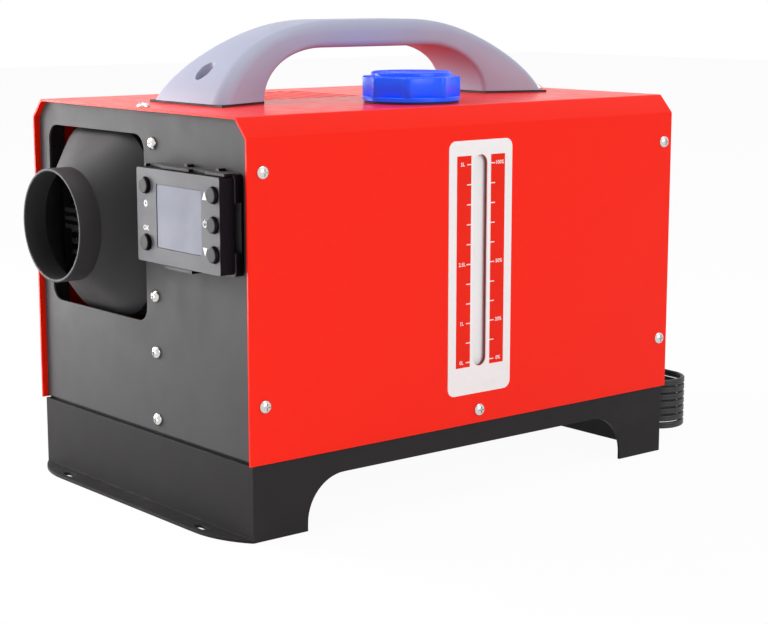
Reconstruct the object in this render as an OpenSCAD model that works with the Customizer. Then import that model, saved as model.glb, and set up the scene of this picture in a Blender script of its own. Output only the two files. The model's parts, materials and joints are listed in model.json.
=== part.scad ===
// Portable diesel air heater: a red sheet-metal case on a folded stand, with the
// heater unit on the left, the fuel tank on the right and a carry handle on top.
// X runs across the front, Y from the hot-air outlet to the back, Z up from the floor.

/* [Case] */
// Width over the red cover
cover_w = 250; // [236:1:270]
// Length of the red cover
cover_l = 362; // [350:1:390]
// Height of the cover's top above the floor
cover_top = 254; // [250:1:270]
// Thickness of the cover sheet
cover_t = 1.5; // [1:0.1:2]
// Width of the sloped edge along the top
chamfer_w = 11; // [6:1:15]
// Height of the sloped edge along the top
chamfer_h = 12; // [6:1:16]
// How far the front and rear panels sit inside the cover's ends
panel_inset = 4; // [2:0.5:6]
// Thickness of the front and rear panels
panel_t = 1.5; // [1:0.1:2]
// Depth of the flange folded round the front and rear panels
panel_flange = 18; // [14:1:24]
// Clearance between sheets that fit inside each other
fit = 0.3; // [0.2:0.05:0.5]
// Diameter of the case screws
screw_d = 4; // [3:0.5:5]
// Diameter of the case screws' heads
screw_head_d = 8.4; // [7.5:0.1:9.5]
// Height of the case screws' heads
screw_head_h = 2.6; // [2:0.1:3.2]
// Length of the cover screws under the head
side_screw_l = 5.6; // [4.5:0.1:5.8]

/* [Stand] */
// Height of the stand
stand_h = 47; // [45:1:52]
// Thickness of the stand sheet
stand_t = 2; // [1.5:0.1:2.5]
// Length of each leg, seen from the side
leg_l = 41; // [30:1:60]
// Height of the arch between the legs
arch_h = 33; // [26:1:36]
// Radius of the arch's corners
arch_r = 28; // [10:1:30]
// Reach of the front and rear foot flanges
foot_reach = 14.5; // [13:0.5:20]
// Distance between the two slots of one foot flange
slot_spacing = 160; // [120:1:175]
// Length of the fixing slots
slot_l = 12; // [8:1:16]
// Width of the fixing slots
slot_w = 5; // [4:0.5:6]
// Thickness of the tray that carries the heater and the tank
tray_t = 1.2; // [1:0.1:2]
// Height of the tray's turned-up rim
tray_rim = 14; // [12.5:0.5:16]

/* [Front window] */
// Width of the window round the hot-air outlet
window_w = 119; // [112:1:122]
// Height of the window round the hot-air outlet
window_h = 119; // [112:1:122]
// Corner radius of the window
window_r = 10; // [4:1:16]

/* [Heater unit] */
// Sideways place of the heater unit
heater_x = -51; // [-53:0.5:-50]
// Height of the heater unit's axis above the floor
heater_z = 177; // [175:0.5:178]
// Width of the heater unit's casing
heater_w = 114; // [110:1:116]
// Height of the heater unit's casing
heater_h = 122; // [118:1:124]
// Wall of the heater unit's casing
heater_wall = 2.2; // [1.6:0.1:3]
// Outside diameter of the hot-air spigot
spigot_d = 73.6; // [60:0.2:76]
// Wall of the hot-air spigot
spigot_wall = 2; // [1.5:0.1:3]
// Length of the spigot's straight part
spigot_l = 15.4; // [12:0.2:18]
// How far the spigot stands out in front of the cover
spigot_reach = 30; // [26:0.5:34]
// Outside diameter of the exhaust stub
exhaust_d = 24; // [20:1:25]
// Outside diameter of the combustion-air stub
intake_d = 22; // [18:1:25]
// Distance between the exhaust and combustion-air stubs
stub_spacing = 42; // [38:1:46]
// Height of the stubs' lower ends above the floor
stub_end = 19; // [14:1:24]
// Number of air-fan blades
fan_blades = 7; // [5:1:9]
// Diameter of the air fan
fan_d = 98; // [90:1:102]
// Diameter of the blower motor
motor_d = 46; // [40:1:52]
// Diameter of the motor shaft
shaft_d = 6; // [4:0.5:8]

/* [Fuel] */
// Sideways place of the divider between heater and tank
divider_x = 12; // [10.5:0.5:13]
// Length of the tank
tank_l = 262; // [240:1:280]
// Wall of the tank
tank_wall = 2.5; // [1.5:0.1:3.5]
// Width of the level slot in the cover
gauge_slot_w = 10.3; // [8:0.1:12]
// Length of the level slot in the cover
gauge_slot_h = 136.7; // [125:0.1:145]
// Place of the level slot along the case
gauge_y = 1; // [-10:1:10]
// Height of the level slot's middle
gauge_z = 154.3; // [150:0.1:157]
// Width of the white level plate
gauge_w = 54.3; // [52:0.1:60]
// Height of the white level plate
gauge_h = 164.6; // [162:0.1:170]
// Sideways place of the filler
filler_x = 70; // [66:1:74]
// Place of the filler along the case
filler_y = -10.5; // [-20:0.5:10]
// Outside diameter of the filler neck
neck_d = 44; // [40:1:46]
// Diameter over the cap's ribs
cap_d = 63.7; // [60:0.1:66]
// Diameter of the cap's raised top
cap_top_d = 52.6; // [50:0.1:54]
// Height of the cap
cap_h = 18.7; // [17:0.1:24]
// Diameter of the fuel pump
pump_d = 27; // [22:1:30]
// Length of the fuel pump's body
pump_l = 62; // [54:1:66]
// Stroke of the fuel pump's plunger
pump_stroke = 2; // [1:0.5:3]

/* [Handle] */
// Length over the handle's two feet
handle_l = 283; // [270:1:290]
// Top of the handle above the floor
handle_top = 306.6; // [302:0.2:316]
// Width of the handle's feet
handle_foot_w = 84; // [70:1:88]
// Width of the grip
grip_w = 46; // [36:1:50]
// Thickness of the grip
grip_t = 18; // [15:0.1:22]
// Clear length between the feet
handle_gap = 190; // [170:1:200]
// Thickness of the pads under the feet
pad_t = 1.5; // [1:0.1:3]

/* [Controller] */
// Width of the controller
ctrl_w = 89.4; // [88:0.1:92]
// Height of the controller
ctrl_h = 57.5; // [55:0.5:62]
// Sideways place of the controller's middle
ctrl_x = 69.6; // [68.5:0.1:70.5]
// Height of the controller's middle
ctrl_z = 190.8; // [186:0.1:194]
// Depth of the controller's case
ctrl_case_d = 8.8; // [8:0.1:9.4]
// Thickness of the controller's face plate
bezel_t = 1.2; // [1:0.1:2.2]
// Width of the display window
lcd_w = 48.5; // [40:0.5:52]
// Height of the display window
lcd_h = 38.8; // [30:0.1:44]
// Diameter of the buttons
button_d = 9.6; // [9:0.1:10]
// How far the buttons stand out of the face
button_out = 2.6; // [1.6:0.1:3]
// Travel of the buttons
button_travel = 1; // [0.6:0.1:1.2]

/* [Power cord] */
// Width of the flat twin cord
cord_w = 4.9; // [4.6:0.1:4.9]
// Thickness of the flat twin cord
cord_t = 2.9; // [2:0.1:3.4]
// Rise of the wound cord in one turn
hank_pitch = 5.35; // [5.35:0.05:6.2]
// Number of turns of the wound cord
hank_turns = 7; // [3:1:10]
// Length of the hank's straight runs
hank_run = 92; // [84:1:104]
// Radius of the hank's ends, at the middle of the cord
hank_r = 17.8; // [16.5:0.1:20]

/* [Hidden] */
$fn = 64;

// Case
half_w = cover_w / 2;
front_y = -cover_l / 2;
panel_y = front_y + panel_inset;
panel_in_y = panel_y + panel_t;
cover_in = half_w - cover_t;
inner_w = cover_in - fit;
cover_bottom = stand_h + 0.6;
panel_bottom = stand_h + 1.9;
tray_top = stand_h + tray_t;
hole_gap = 0.4;
side_screw_y = front_y + 9.5;
side_screw_shift = 1.5;
side_screw_hi = cover_top - 32;
side_screw_lo = stand_h + 36;
side_screw_mid = stand_h + 9.3;
front_screw_x = divider_x + 6.5;
panel_screw_z = [cover_top - 21.6, cover_top - 117.5, stand_h + 53.5, stand_h + 10];
panel_screw_l = 8;
window_x = heater_x - 0.5;
window_z = heater_z + 0.8;
cable_hole_r = 6;
cable_y = panel_in_y + 12;
cable_z = ctrl_z - 14;
cable_r = 2.2;
vent_n = 9;
vent_pitch = 10.5;
vent_l = 80;
vent_w = 5;
vent_x = heater_x + 5;
vent_y = -78;
louvre_n = 6;
louvre_pitch = 18;
louvre_l = 56;
louvre_w = 6;
louvre_x = 75;
louvre_z = 110;
stub_room = 4;
drain_x = 85;
drain_y = 150;
drain_r = 4;
neck_room = 1;
recess_l = 4.6;
recess_w = 0.9;
recess_depth = 1.3;

// Stand
stand_y = front_y + 2.5;
lip_w = 14;
foot_corner = 41.5;
foot_end = half_w - cover_t - 0.5;
foot_arc_r = (foot_corner * foot_corner + foot_reach * foot_reach) / (2 * foot_reach);
slot_y = stand_y - foot_reach / 2 - 1;

// Heater unit, from the outlet to the back
spigot_tip_y = front_y - spigot_reach;
spigot_root_y = spigot_tip_y + spigot_l;
casing_y = front_y + 16;
hood_rim = 5;
hood_end_y = casing_y - hood_rim;
casing_l = 298;
casing_r = 38;
casing_end_y = casing_y + casing_l;
grille_t = 4;
grille_bar_t = 3;
grille_open_r = fan_d / 2 - 1;
grille_room = 14;
fan_depth = 16;
fan_inset = 0.5;
fan_gap = 8;
fan_y = casing_end_y - grille_room - fan_depth;
motor_l = 48;
motor_boss = 4;
motor_boss_r = 9;
motor_end_y = fan_y - fan_gap;
motor_y = motor_end_y - motor_l;
comb_fan_l = 10;
comb_fan_r = 34;
comb_disc_t = 2;
comb_hub_r = 8;
comb_blade_in = 12;
comb_blades = 12;
comb_fan_y = motor_y - motor_boss - fit - comb_fan_l;
comb_gap = 8;
cup_l = 14;
cup_r = 36;
cup_bore_r = 32;
burner_flange_r = 44;
burner_flange_t = 4;
fin_y = casing_y - 4;
fin_end_y = comb_fan_y - comb_gap - cup_l - burner_flange_t;
fin_half_w = 47.5;
bar_front_y = casing_y - 17;
outlet_bar_half_w = 33;
outlet_bar_pitch = 5.4;
outlet_bar_t = 3;
outlet_post_half_w = 1.5;
outlet_post_in = 6;
fin_half_h = 52;
fin_pitch = 7.8;
fin_t = 3.6;
core_r = 37;
core_bore = 32;
burner_r = 29;
burner_l = 110;
burner_t = 1.6;
pad_half_w = 6;
pad_low = 34;
pad_high = 22;
air_hole_x = -8;
air_hole_r = 6;
plug_at = 16;
plug_r = 4;
plug_l = 30;
plug_hex_r = 5.6;
plug_hex_h = 6;
shell_rib_t = 3;
front_rib_in = 20;
motor_rib_in = 18;
motor_seat_r = 40;
motor_ring_lap = 4;
motor_ring_t = 2.8;
motor_slot_r = 7;
motor_slot_at = 33;
box_half_w = 28;
box_room = 4;
box_shift = 2;
box_drop = 5;
nipple_room = 5;
sensor_half_w = 7;
sensor_l = 20;
sensor_in = 60;
blade_t = 1.8;
blade_turn = 52;
hub_d = 30;
running = 0.06;
gasket_t = 3;
bracket_top = heater_z - heater_h / 2 - gasket_t;
plate_t = 2;
bracket_l = 150;
bracket_y = -85;
base_half_w = 28;
bracket_leg_foot = 14;
bracket_hole_r = 16;
bracket_hole_y = -10;
bracket_hole_z = 30;
bracket_notch_w = 15;
bracket_notch_l = 50;
bracket_notch_drop = 6;
stub_wall = 1.5;
collar_t = 1.6;
collar_out = 1.5;
port_wall = 2;
stud_nut_h = 5;
stud_nut_r = 5.8;
stud_depth = 8;
collar_z = stand_h - 4;
stud_r = 3;
exhaust_y = -48;
intake_y = exhaust_y + stub_spacing;
base_front = 20;
base_rear = 10;
base_y = exhaust_y - base_front;
base_l = stub_spacing + base_front + base_rear;
stud_x = base_half_w - 6;
stud_y = exhaust_y + stub_spacing / 2;

// Fuel side
divider_t = 1.2;
divider_flange = 15;
divider_top = cover_top - cover_t - 2.5;
tank_x = divider_x + 6;
tank_w = cover_in - 4.5 - tank_x;
tank_z = tray_top + fit;
tank_top = cover_top - 9;
tank_r = 14;
rib_w = gauge_slot_w + 8;
rib_h = gauge_slot_h + 8;
rib_r = 4;
gauge_t = 0.6;
gauge_drop = 4.3;
gauge_r = 5.5;
bar_w = 12;
bar_gap = 3.4;
print_t = 0.15;
tick_n = 10;
tick_l = 4.6;
tick_w = 0.75;
tick_drop = 1.3;
tick_span = gauge_slot_h - 8.7;
rib_out = 3.1;
neck_wall = 3;
neck_top = cover_top + 9;
gasket_out_d = cap_d - 2;
filler_gasket_t = 1;
cap_z = cover_top + filler_gasket_t + fit;
cap_roof = 3;
cap_step = 2.8;
cap_skirt = 3;
cap_dip = 1.2;
rib_phase = 46;
seal_w = 4.4;
cap_ribs = 8;
rib_angle = 6.3;
outlet_y = 9 - tank_l / 2;
outlet_z = tank_z + 17.5;
outlet_end_x = divider_x - 14;
pump_x = -88;
pump_y = -60;
pump_z = outlet_z;
pump_bore_r = 5;
fitting_r = 4;
fitting_l = 14;
fitting_flange_r = 7.5;
fitting_flange_t = 2.5;
port_r = 1.5;
pump_head = 8;
clamp_wall = 4;
clamp_w = 16;
clamp_y = pump_y + 10;
clamp_foot_w = 28;
line_r = 3;
filter_x = -48;
filter_r = 13.5;
filter_l = 36;
filter_reach = filter_l / 2 + 9;
nipple_x = heater_x + 30;
nipple_y = fin_end_y + burner_flange_t + 8;
line_sides = 8;
bend_steps = 4;
bend_r = 5;

// Handle
foot_z = cover_top + pad_t;
handle_end = handle_l / 2;
grip_under = handle_top - grip_t;
handle_screw_y = handle_end - 17;
handle_screw_z = foot_z + 11;
handle_recess_r = 6.3;
inner_bend_l = 50;
nut_h = 3.2;
nut_r = 4.6;

// Controller, from its back to its face
holder_t = 2;
holder_out = 1.7;
holder_wall = 1.5;
holder_lip_y = 4;
ctrl_back = panel_y - 6;
ctrl_front = ctrl_back - ctrl_case_d;
face_y = ctrl_front - bezel_t;
ctrl_wall = 0.8;
ctrl_back_wall = 0.7;
board_t = 1.4;
ctrl_r = 1.5;
post_in = 4;
cable_room_r = 4;
board_y = ctrl_back - ctrl_back_wall - 0.4 - board_t;
button_gap = 0.5;
button_x = ctrl_w / 2 - 5.9;
button_left_x = 10.45 - ctrl_w / 2;
button_rows = 17.5;
button_rise = 0.7;
button_len = button_out + bezel_t + button_travel + 0.2;
lcd_x = ctrl_x + 1.4;
lcd_z = ctrl_z + 0.4;

// Back of the case
grille_hole_r = 52;
rear_grille_t = 2;
rear_grille_lap = 5;
rear_grille_rim = 3;
rear_ring_step = 10;
rear_bar_w = 2.4;
gland_r = 8;
gland_flange = 3;
gland_nut_t = 5;
gland_head = 4;
gland_neck_r = 6.4;
gland_tip_r = 4.2;
gland_bore_r = 3.5;
gland_x = 40;
gland_z = 74;
gland_tip_y = 198;

// Power cord, behind the case: a lead from the gland, the hank and its two cores
hank_x = 75.7;
hank_y = 229.6;
tie_t = 1.2;
hank_z = tie_t + 0.1 + cord_w / 2;
hank_end = 6;
end_steps = 10;
core_r1 = cord_w / 4 - 0.06;
terminal_r = 1.9;
barrel_l = 9;
eye_reach = 16;
eye_t = 1;
eye_r = 6;
eye_hole_r = 3.2;
terminal_x = -100;
terminal_z = 2;
red_y = 207;
black_y = 238;

// General shapes

// Box from low to high corner
module block(low, high) {
    translate(low) cube(high - low);
}

// Rectangle centred on the origin with round corners
module round_rect(w, h, r) {
    square([w - 2 * r, h], center = true);
    square([w, h - 2 * r], center = true);
    for (sx = [-1, 1], sy = [-1, 1])
        translate([sx * (w / 2 - r), sy * (h / 2 - r)]) circle(r);
}

// Slot along the first axis, centred on the origin
module slot_shape(l, w) {
    square([l - w, w], center = true);
    for (s = [-1, 1])
        translate([s * (l - w) / 2, 0]) circle(w / 2);
}

// A flat shape drawn in X and Z, run from y0 to y1
module along_y(y0, y1) {
    translate([0, y1, 0]) rotate([90, 0, 0]) linear_extrude(y1 - y0) children();
}

// A flat shape drawn in Y and Z, run from x0 to x1
module along_x(x0, x1) {
    translate([x0, 0, 0]) rotate([90, 0, 90]) linear_extrude(x1 - x0) children();
}

// Cylinder along Y
module rod_y(x, z, y0, y1, r) {
    translate([x, y1, z]) rotate([90, 0, 0]) cylinder(h = y1 - y0, r = r);
}

// Cylinder along X
module rod_x(y, z, x0, x1, r) {
    translate([x0, y, z]) rotate([0, 90, 0]) cylinder(h = x1 - x0, r = r);
}

// Cylinder up Z
module rod_z(x, y, z0, z1, r) {
    translate([x, y, z0]) cylinder(h = z1 - z0, r = r);
}

// Pan-head screw with a cross recess, head up from the origin, shank down
module pan_screw(l) {
    dome_r = screw_head_d * 0.66;
    difference() {
        intersection() {
            cylinder(h = screw_head_h, d = screw_head_d);
            translate([0, 0, screw_head_h - dome_r]) sphere(dome_r);
        }
        for (a = [0, 90])
            rotate(a) translate([-recess_l / 2, -recess_w / 2, screw_head_h - recess_depth])
                cube([recess_l, recess_w, recess_depth + 1]);
    }
    translate([0, 0, -l]) cylinder(h = l, d = screw_d);
}

// Unit vector
function unit(v) = v / norm(v);

// Direction of a path at point i
function path_dir(p, i) =
    unit(p[min(i + 1, len(p) - 1)] - p[max(i - 1, 0)]);

// Ring of section points round a path point, with the section's second axis near up
function ring(p, i, section, up) =
    let (d = path_dir(p, i), side = unit(cross(d, up)), rise = cross(side, d))
    [for (s = section) p[i] + side * s[0] + rise * s[1]];

// Tube swept along a path
module sweep(p, section, up) {
    n = len(section);
    m = len(p);
    body = [for (i = [0 : m - 1], j = [0 : n - 1])
        [i * n + j, (i < m - 1) ? 1 : 0]];
    points = [for (i = [0 : m - 1]) each ring(p, i, section, up)];
    sides = [for (i = [0 : m - 2], j = [0 : n - 1], k = [0, 1])
        let (a = i * n + j, b = i * n + (j + 1) % n)
        k == 0 ? [a, b, b + n] : [a, b + n, a + n]];
    start = [for (j = [1 : n - 2]) [0, j + 1, j]];
    finish = [for (j = [1 : n - 2])
        [(m - 1) * n, (m - 1) * n + j, (m - 1) * n + j + 1]];
    polyhedron(points, concat(sides, start, finish), convexity = 10);
}

// A route with its corners rounded off over the distance r
function rounded(p, r) = concat([p[0]],
    [for (i = [1 : len(p) - 2])
        let (back = p[i] + r * unit(p[i - 1] - p[i]), ahead = p[i] + r * unit(p[i + 1] - p[i]))
        for (k = [0 : bend_steps])
            let (t = k / bend_steps)
            (1 - t) * (1 - t) * back + 2 * t * (1 - t) * p[i] + t * t * ahead],
    [p[len(p) - 1]]);

// Round section with n sides
function round_section(r, n) = [for (j = [0 : n - 1])
    [r * cos(360 * (j + 0.5) / n), r * sin(360 * (j + 0.5) / n)]];

// Flat twin cord section, six-sided, standing on its edge
flat_section = [[cord_t / 2, -cord_w / 4], [cord_t / 2, cord_w / 4], [0, cord_w / 2],
    [-cord_t / 2, cord_w / 4], [-cord_t / 2, -cord_w / 4], [0, -cord_w / 2]];

// Outline of the case in X and Z, moved in by t, with its bottom at z0
function case_outline(t, z0) =
    let (n = norm([chamfer_w, chamfer_h]),
        side_z = cover_top - chamfer_h - t * (n - chamfer_h) / chamfer_w,
        top_x = half_w - chamfer_w - t * (n - chamfer_w) / chamfer_h,
        x = half_w - t, z = cover_top - t)
    [[-x, z0], [-x, side_z], [-top_x, z], [top_x, z], [x, side_z], [x, z0]];

module case_shape(t, z0) {
    polygon(case_outline(t, z0));
}

// Children at the side screws of both sides, with Z out of the side
module at_side_screws(x) {
    for (s = [-1, 1]) {
        for (y = [side_screw_y, -side_screw_y], z = [side_screw_hi, side_screw_lo])
            translate([s * x, y + side_screw_shift, z]) rotate([0, s * 90, 0]) children();
        translate([s * x, side_screw_shift, side_screw_mid]) rotate([0, s * 90, 0]) children();
    }
}

// Children at the top screws, with Z up
module at_top_screws(z) {
    for (y = [side_screw_y, -side_screw_y])
        translate([0, y, z]) children();
}

// Children at the screws of the front and rear panels, with Z out of the panel
module at_panel_screws(y) {
    for (s = [-1, 1], z = panel_screw_z)
        translate([front_screw_x, s * y, z]) rotate([s * -90, 0, 0]) children();
}

module screw_hole() {
    translate([0, 0, -10]) cylinder(h = 20, d = screw_d + hole_gap);
}

// Stand and case

module foot_flange() {
    arc_x = half_w - cover_t - foot_corner;
    translate([0, stand_y, 0])
        difference() {
            linear_extrude(stand_t)
                intersection() {
                    union() {
                        square([2 * arc_x, 2 * foot_reach], center = true);
                        for (s = [-1, 1])
                            translate([s * arc_x, foot_arc_r - foot_reach]) circle(foot_arc_r);
                    }
                    translate([-foot_end, -foot_reach]) square([2 * foot_end, foot_reach + stand_t]);
                }
            for (s = [-1, 1])
                translate([s * slot_spacing / 2, slot_y - stand_y, -1])
                    linear_extrude(stand_t + 2) slot_shape(slot_l, slot_w);
        }
}

module arch_shape() {
    arch_l = -2 * stand_y - 2 * leg_l;
    translate([0, arch_h - arch_r]) {
        square([arch_l - 2 * arch_r, 2 * arch_r], center = true);
        for (s = [-1, 1])
            translate([s * (arch_l / 2 - arch_r), 0]) circle(arch_r);
        translate([-arch_l / 2, -arch_h]) square([arch_l, arch_h]);
    }
}

module base_stand() {
    color("#323032") {
        difference() {
            block([-cover_in, stand_y, 0], [cover_in, -stand_y, stand_h]);
            block([-cover_in + stand_t, stand_y + stand_t, -1],
                [cover_in - stand_t, -stand_y - stand_t, stand_h - stand_t]);
            block([-cover_in + lip_w, stand_y + lip_w, 0],
                [cover_in - lip_w, -stand_y - lip_w, stand_h + 1]);
            along_x(-half_w, half_w) arch_shape();
        }
        foot_flange();
        mirror([0, 1, 0]) foot_flange();
    }
}

module tray_holes() {
    rod_z(heater_x, exhaust_y, 0, tray_top + 1, exhaust_d / 2 + stub_room);
    rod_z(heater_x, intake_y, 0, tray_top + 1, intake_d / 2 + stub_room);
    for (x = [-drain_x, drain_x], y = [-drain_y, drain_y])
        rod_z(x, y, 0, tray_top + 1, drain_r);
}

module floor_plate() {
    end_y = panel_in_y + fit;
    color("#3c3b3d")
        difference() {
            block([-inner_w, end_y, stand_h], [inner_w, -end_y, tray_top + tray_rim]);
            block([-inner_w + tray_t, end_y + tray_t, tray_top],
                [inner_w - tray_t, -end_y - tray_t, tray_top + tray_rim + 1]);
            tray_holes();
            at_side_screws(inner_w) screw_hole();
            at_panel_screws(end_y) screw_hole();
        }
}

module vent_slots() {
    for (i = [0 : vent_n - 1])
        translate([vent_x, vent_y + i * vent_pitch, 0]) slot_shape(vent_l, vent_w);
}

module outer_cover() {
    color("#f02c14")
        difference() {
            along_y(front_y, -front_y)
                difference() {
                    case_shape(0, cover_bottom);
                    case_shape(cover_t, 0);
                }
            along_x(half_w - 5, half_w + 5)
                translate([gauge_y, gauge_z]) rotate(90) slot_shape(gauge_slot_h, gauge_slot_w);
            translate([0, 0, cover_top - 5]) {
                linear_extrude(10) vent_slots();
                translate([filler_x, filler_y, 0]) cylinder(h = 10, d = neck_d + 2 * neck_room);
            }
            at_side_screws(half_w) screw_hole();
            at_top_screws(cover_top) screw_hole();
            for (s = [-1, 1])
                rod_z(0, s * handle_screw_y, cover_top - 5, cover_top + 5, screw_d / 2 + hole_gap / 2);
        }
}

// Folded panel: a sheet with a flange round its sides and top, its side holes moved by shift
module panel_body(shift) {
    skin = cover_t + fit;
    difference() {
        along_y(panel_y, panel_y + panel_flange) case_shape(skin, panel_bottom);
        along_y(panel_in_y, panel_y + panel_flange + 1) case_shape(skin + panel_t, 0);
        block([-half_w, panel_in_y, 0], [half_w, panel_y + panel_flange + 1,
                tray_top + tray_rim + 2]);
        translate([0, shift, 0]) at_side_screws(half_w) screw_hole();
        at_top_screws(cover_top) screw_hole();
        at_panel_screws(-panel_y) screw_hole();
    }
}

module front_panel() {
    color("#6e6c6e")
        difference() {
            panel_body(0);
            along_y(panel_y - 1, panel_in_y + 1) {
                translate([window_x, window_z]) round_rect(window_w, window_h, window_r);
                translate([ctrl_x, ctrl_z]) circle(cable_hole_r);
            }
        }
}

module rear_panel() {
    color("#4a484a")
        difference() {
            mirror([0, 1, 0]) panel_body(-2 * side_screw_shift);
            along_y(-panel_in_y - 1, -panel_y + 1) {
                translate([heater_x, heater_z]) circle(grille_hole_r);
                translate([gland_x, gland_z]) circle(gland_r);
                for (i = [0 : louvre_n - 1])
                    translate([louvre_x, louvre_z + i * louvre_pitch]) slot_shape(louvre_l, louvre_w);
            }
        }
}

module divider_panel() {
    end_y = panel_in_y + fit;
    rim_y = end_y + tray_t + fit;
    low_z = tray_top + tray_rim + fit;
    color("#8f9193")
        difference() {
            union() {
                block([divider_x, rim_y, tray_top], [divider_x + divider_t, -rim_y, divider_top]);
                block([divider_x, end_y, low_z], [divider_x + divider_t, -end_y, divider_top]);
                for (s = [0, 1])
                    mirror([0, s, 0])
                        block([divider_x, end_y, low_z],
                            [divider_x + divider_flange, end_y + divider_t, divider_top]);
                block([heater_x + heater_w / 2 + fit, rim_y, tray_top], [divider_x + divider_t, -rim_y,
                    tray_top + divider_t]);
            }
            at_panel_screws(end_y) screw_hole();
            rod_x(outlet_y, outlet_z, divider_x - 1, divider_x + divider_t + 1, 2 * fitting_r);
            rod_x(cable_y, cable_z, divider_x - 1, divider_x + divider_t + 1, cable_hole_r - 1);
        }
}

module cover_screws() {
    color("silver") {
        at_side_screws(half_w) pan_screw(side_screw_l);
        at_top_screws(cover_top) pan_screw(side_screw_l);
    }
}

module panel_screws() {
    color("silver") at_panel_screws(-panel_y) pan_screw(panel_screw_l);
}

// Carry handle

function bezier(a, t) =
    pow(1 - t, 3) * a[0] + 3 * pow(1 - t, 2) * t * a[1] + 3 * (1 - t) * t * t * a[2]
        + pow(t, 3) * a[3];

// Outer line of one handle end, from the foot's tip to the grip's middle
outer_curve = [[handle_end, foot_z], [handle_end - 14.5, (foot_z + handle_top) / 2],
    [handle_end - 55.5, handle_top], [handle_end - 110.5, handle_top]];

// Inner line of one handle end, a quarter ellipse
function inner_point(a) = [handle_gap / 2 - inner_bend_l * (1 - cos(a)),
    foot_z + (grip_under - foot_z) * sin(a)];

// Both halves of an outline whose second half mirrors the first across the first axis' zero
function mirrored(half) = concat(half, [for (i = [len(half) - 1 : -1 : 0])
    if (half[i][0] != 0) [-half[i][0], half[i][1]]]);

module handle_side() {
    outer = [for (i = [12 : -1 : 0]) bezier(outer_curve, i / 12)];
    inner = [for (i = [0 : 8]) inner_point(90 * i / 8)];
    polygon(mirrored(concat([[0, handle_top]], outer, inner, [[0, grip_under]])));
}

// Half width of the handle in plan, wide at the tips and narrow along the grip
plan_curve = [[handle_foot_w / 2, handle_end], [handle_foot_w / 2 - 5, handle_end - 14],
    [grip_w / 2, handle_end - 34], [grip_w / 2, handle_end - 66]];

module handle_plan() {
    edge = [for (i = [0 : 10]) bezier(plan_curve, i / 10)];
    polygon(mirrored(concat(edge, [for (i = [10 : -1 : 0]) [edge[i][0], -edge[i][1]]])));
}

module carry_handle() {
    color("#a8a9b8")
        difference() {
            intersection() {
                along_x(-handle_foot_w, handle_foot_w) handle_side();
                translate([0, 0, foot_z]) linear_extrude(handle_top - foot_z + 1) handle_plan();
            }
            for (s = [-1, 1]) {
                rod_z(0, s * handle_screw_y, foot_z - 1, handle_top, screw_d / 2 + hole_gap / 2);
                rod_z(0, s * handle_screw_y, handle_screw_z, handle_top, handle_recess_r);
            }
        }
}

module handle_pads() {
    pad_y = handle_gap / 2 + 1;
    color("#1c1c1e")
        difference() {
            translate([0, 0, cover_top]) linear_extrude(pad_t)
                difference() {
                    handle_plan();
                    square([handle_foot_w + 2, 2 * pad_y], center = true);
                    for (s = [-1, 1])
                        translate([0, s * (handle_end + 3)]) square([handle_foot_w + 2, 8], center = true);
                }
            for (s = [-1, 1])
                rod_z(0, s * handle_screw_y, cover_top - 1, foot_z + 1, screw_d / 2 + hole_gap / 2);
        }
}

module handle_screws() {
    color("silver")
        for (s = [-1, 1]) {
            translate([0, s * handle_screw_y, handle_screw_z]) pan_screw(handle_screw_z - cover_top + 8);
            difference() {
                translate([0, s * handle_screw_y, cover_top - cover_t - 0.2 - nut_h])
                    cylinder(h = nut_h, r = nut_r, $fn = 6);
                rod_z(0, s * handle_screw_y, cover_top - cover_t - 6, cover_top, screw_d / 2 + 0.02);
            }
        }
}

// Level gauge

module gauge_plate() {
    color("white")
        along_x(half_w, half_w + gauge_t)
            translate([gauge_y, gauge_z - gauge_drop])
                difference() {
                    round_rect(gauge_w, gauge_h, gauge_r);
                    translate([0, gauge_drop]) rotate(90)
                        slot_shape(gauge_slot_h + 2 * fit, gauge_slot_w + 2 * fit);
                }
}

module gauge_scale() {
    bar_x = gauge_slot_w / 2 + bar_gap;
    color("#e23020")
        for (s = [-1, 1])
            along_x(half_w + gauge_t, half_w + gauge_t + print_t)
                translate([gauge_y + s * (bar_x + bar_w / 2), gauge_z])
                    difference() {
                        square([bar_w, gauge_slot_h], center = true);
                        for (i = [0 : tick_n])
                            translate([-s * (bar_w / 2 - 1.3), (i / tick_n - 0.5) * tick_span - tick_drop])
                                square([tick_l, tick_w], center = true);
                    }
}

// Fuel tank and filler

module tank_side(grow) {
    translate([0, (tank_z + tank_top) / 2])
        round_rect(tank_l - 2 * grow, tank_top - tank_z - 2 * grow, tank_r - grow);
}

module rib_side(grow) {
    translate([gauge_y, gauge_z])
        round_rect(rib_w - 2 * grow, rib_h - 2 * grow, rib_r - grow / 2);
}

module fuel_tank() {
    color("#f4f3ee", 0.9)
        difference() {
            union() {
                along_x(tank_x, tank_x + tank_w) tank_side(0);
                along_x(tank_x + tank_w - 1, tank_x + tank_w + rib_out) rib_side(0);
                rod_z(filler_x, filler_y, tank_top - 3, neck_top, neck_d / 2);
            }
            along_x(tank_x + tank_wall, tank_x + tank_w - tank_wall) tank_side(tank_wall);
            along_x(tank_x + tank_w - tank_wall - 1, tank_x + tank_w + rib_out - tank_wall)
                rib_side(tank_wall);
            rod_z(filler_x, filler_y, tank_top - tank_wall - 1, neck_top + 1, neck_d / 2 - neck_wall);
            rod_x(outlet_y, outlet_z, tank_x - 1, tank_x + tank_wall + 1, fitting_r);
        }
}

module filler_gasket() {
    color("#161618")
        difference() {
            rod_z(filler_x, filler_y, cover_top, cover_top + filler_gasket_t, gasket_out_d / 2);
            rod_z(filler_x, filler_y, cover_top - 1, cover_top + 2, neck_d / 2 + fit);
        }
}

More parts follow.
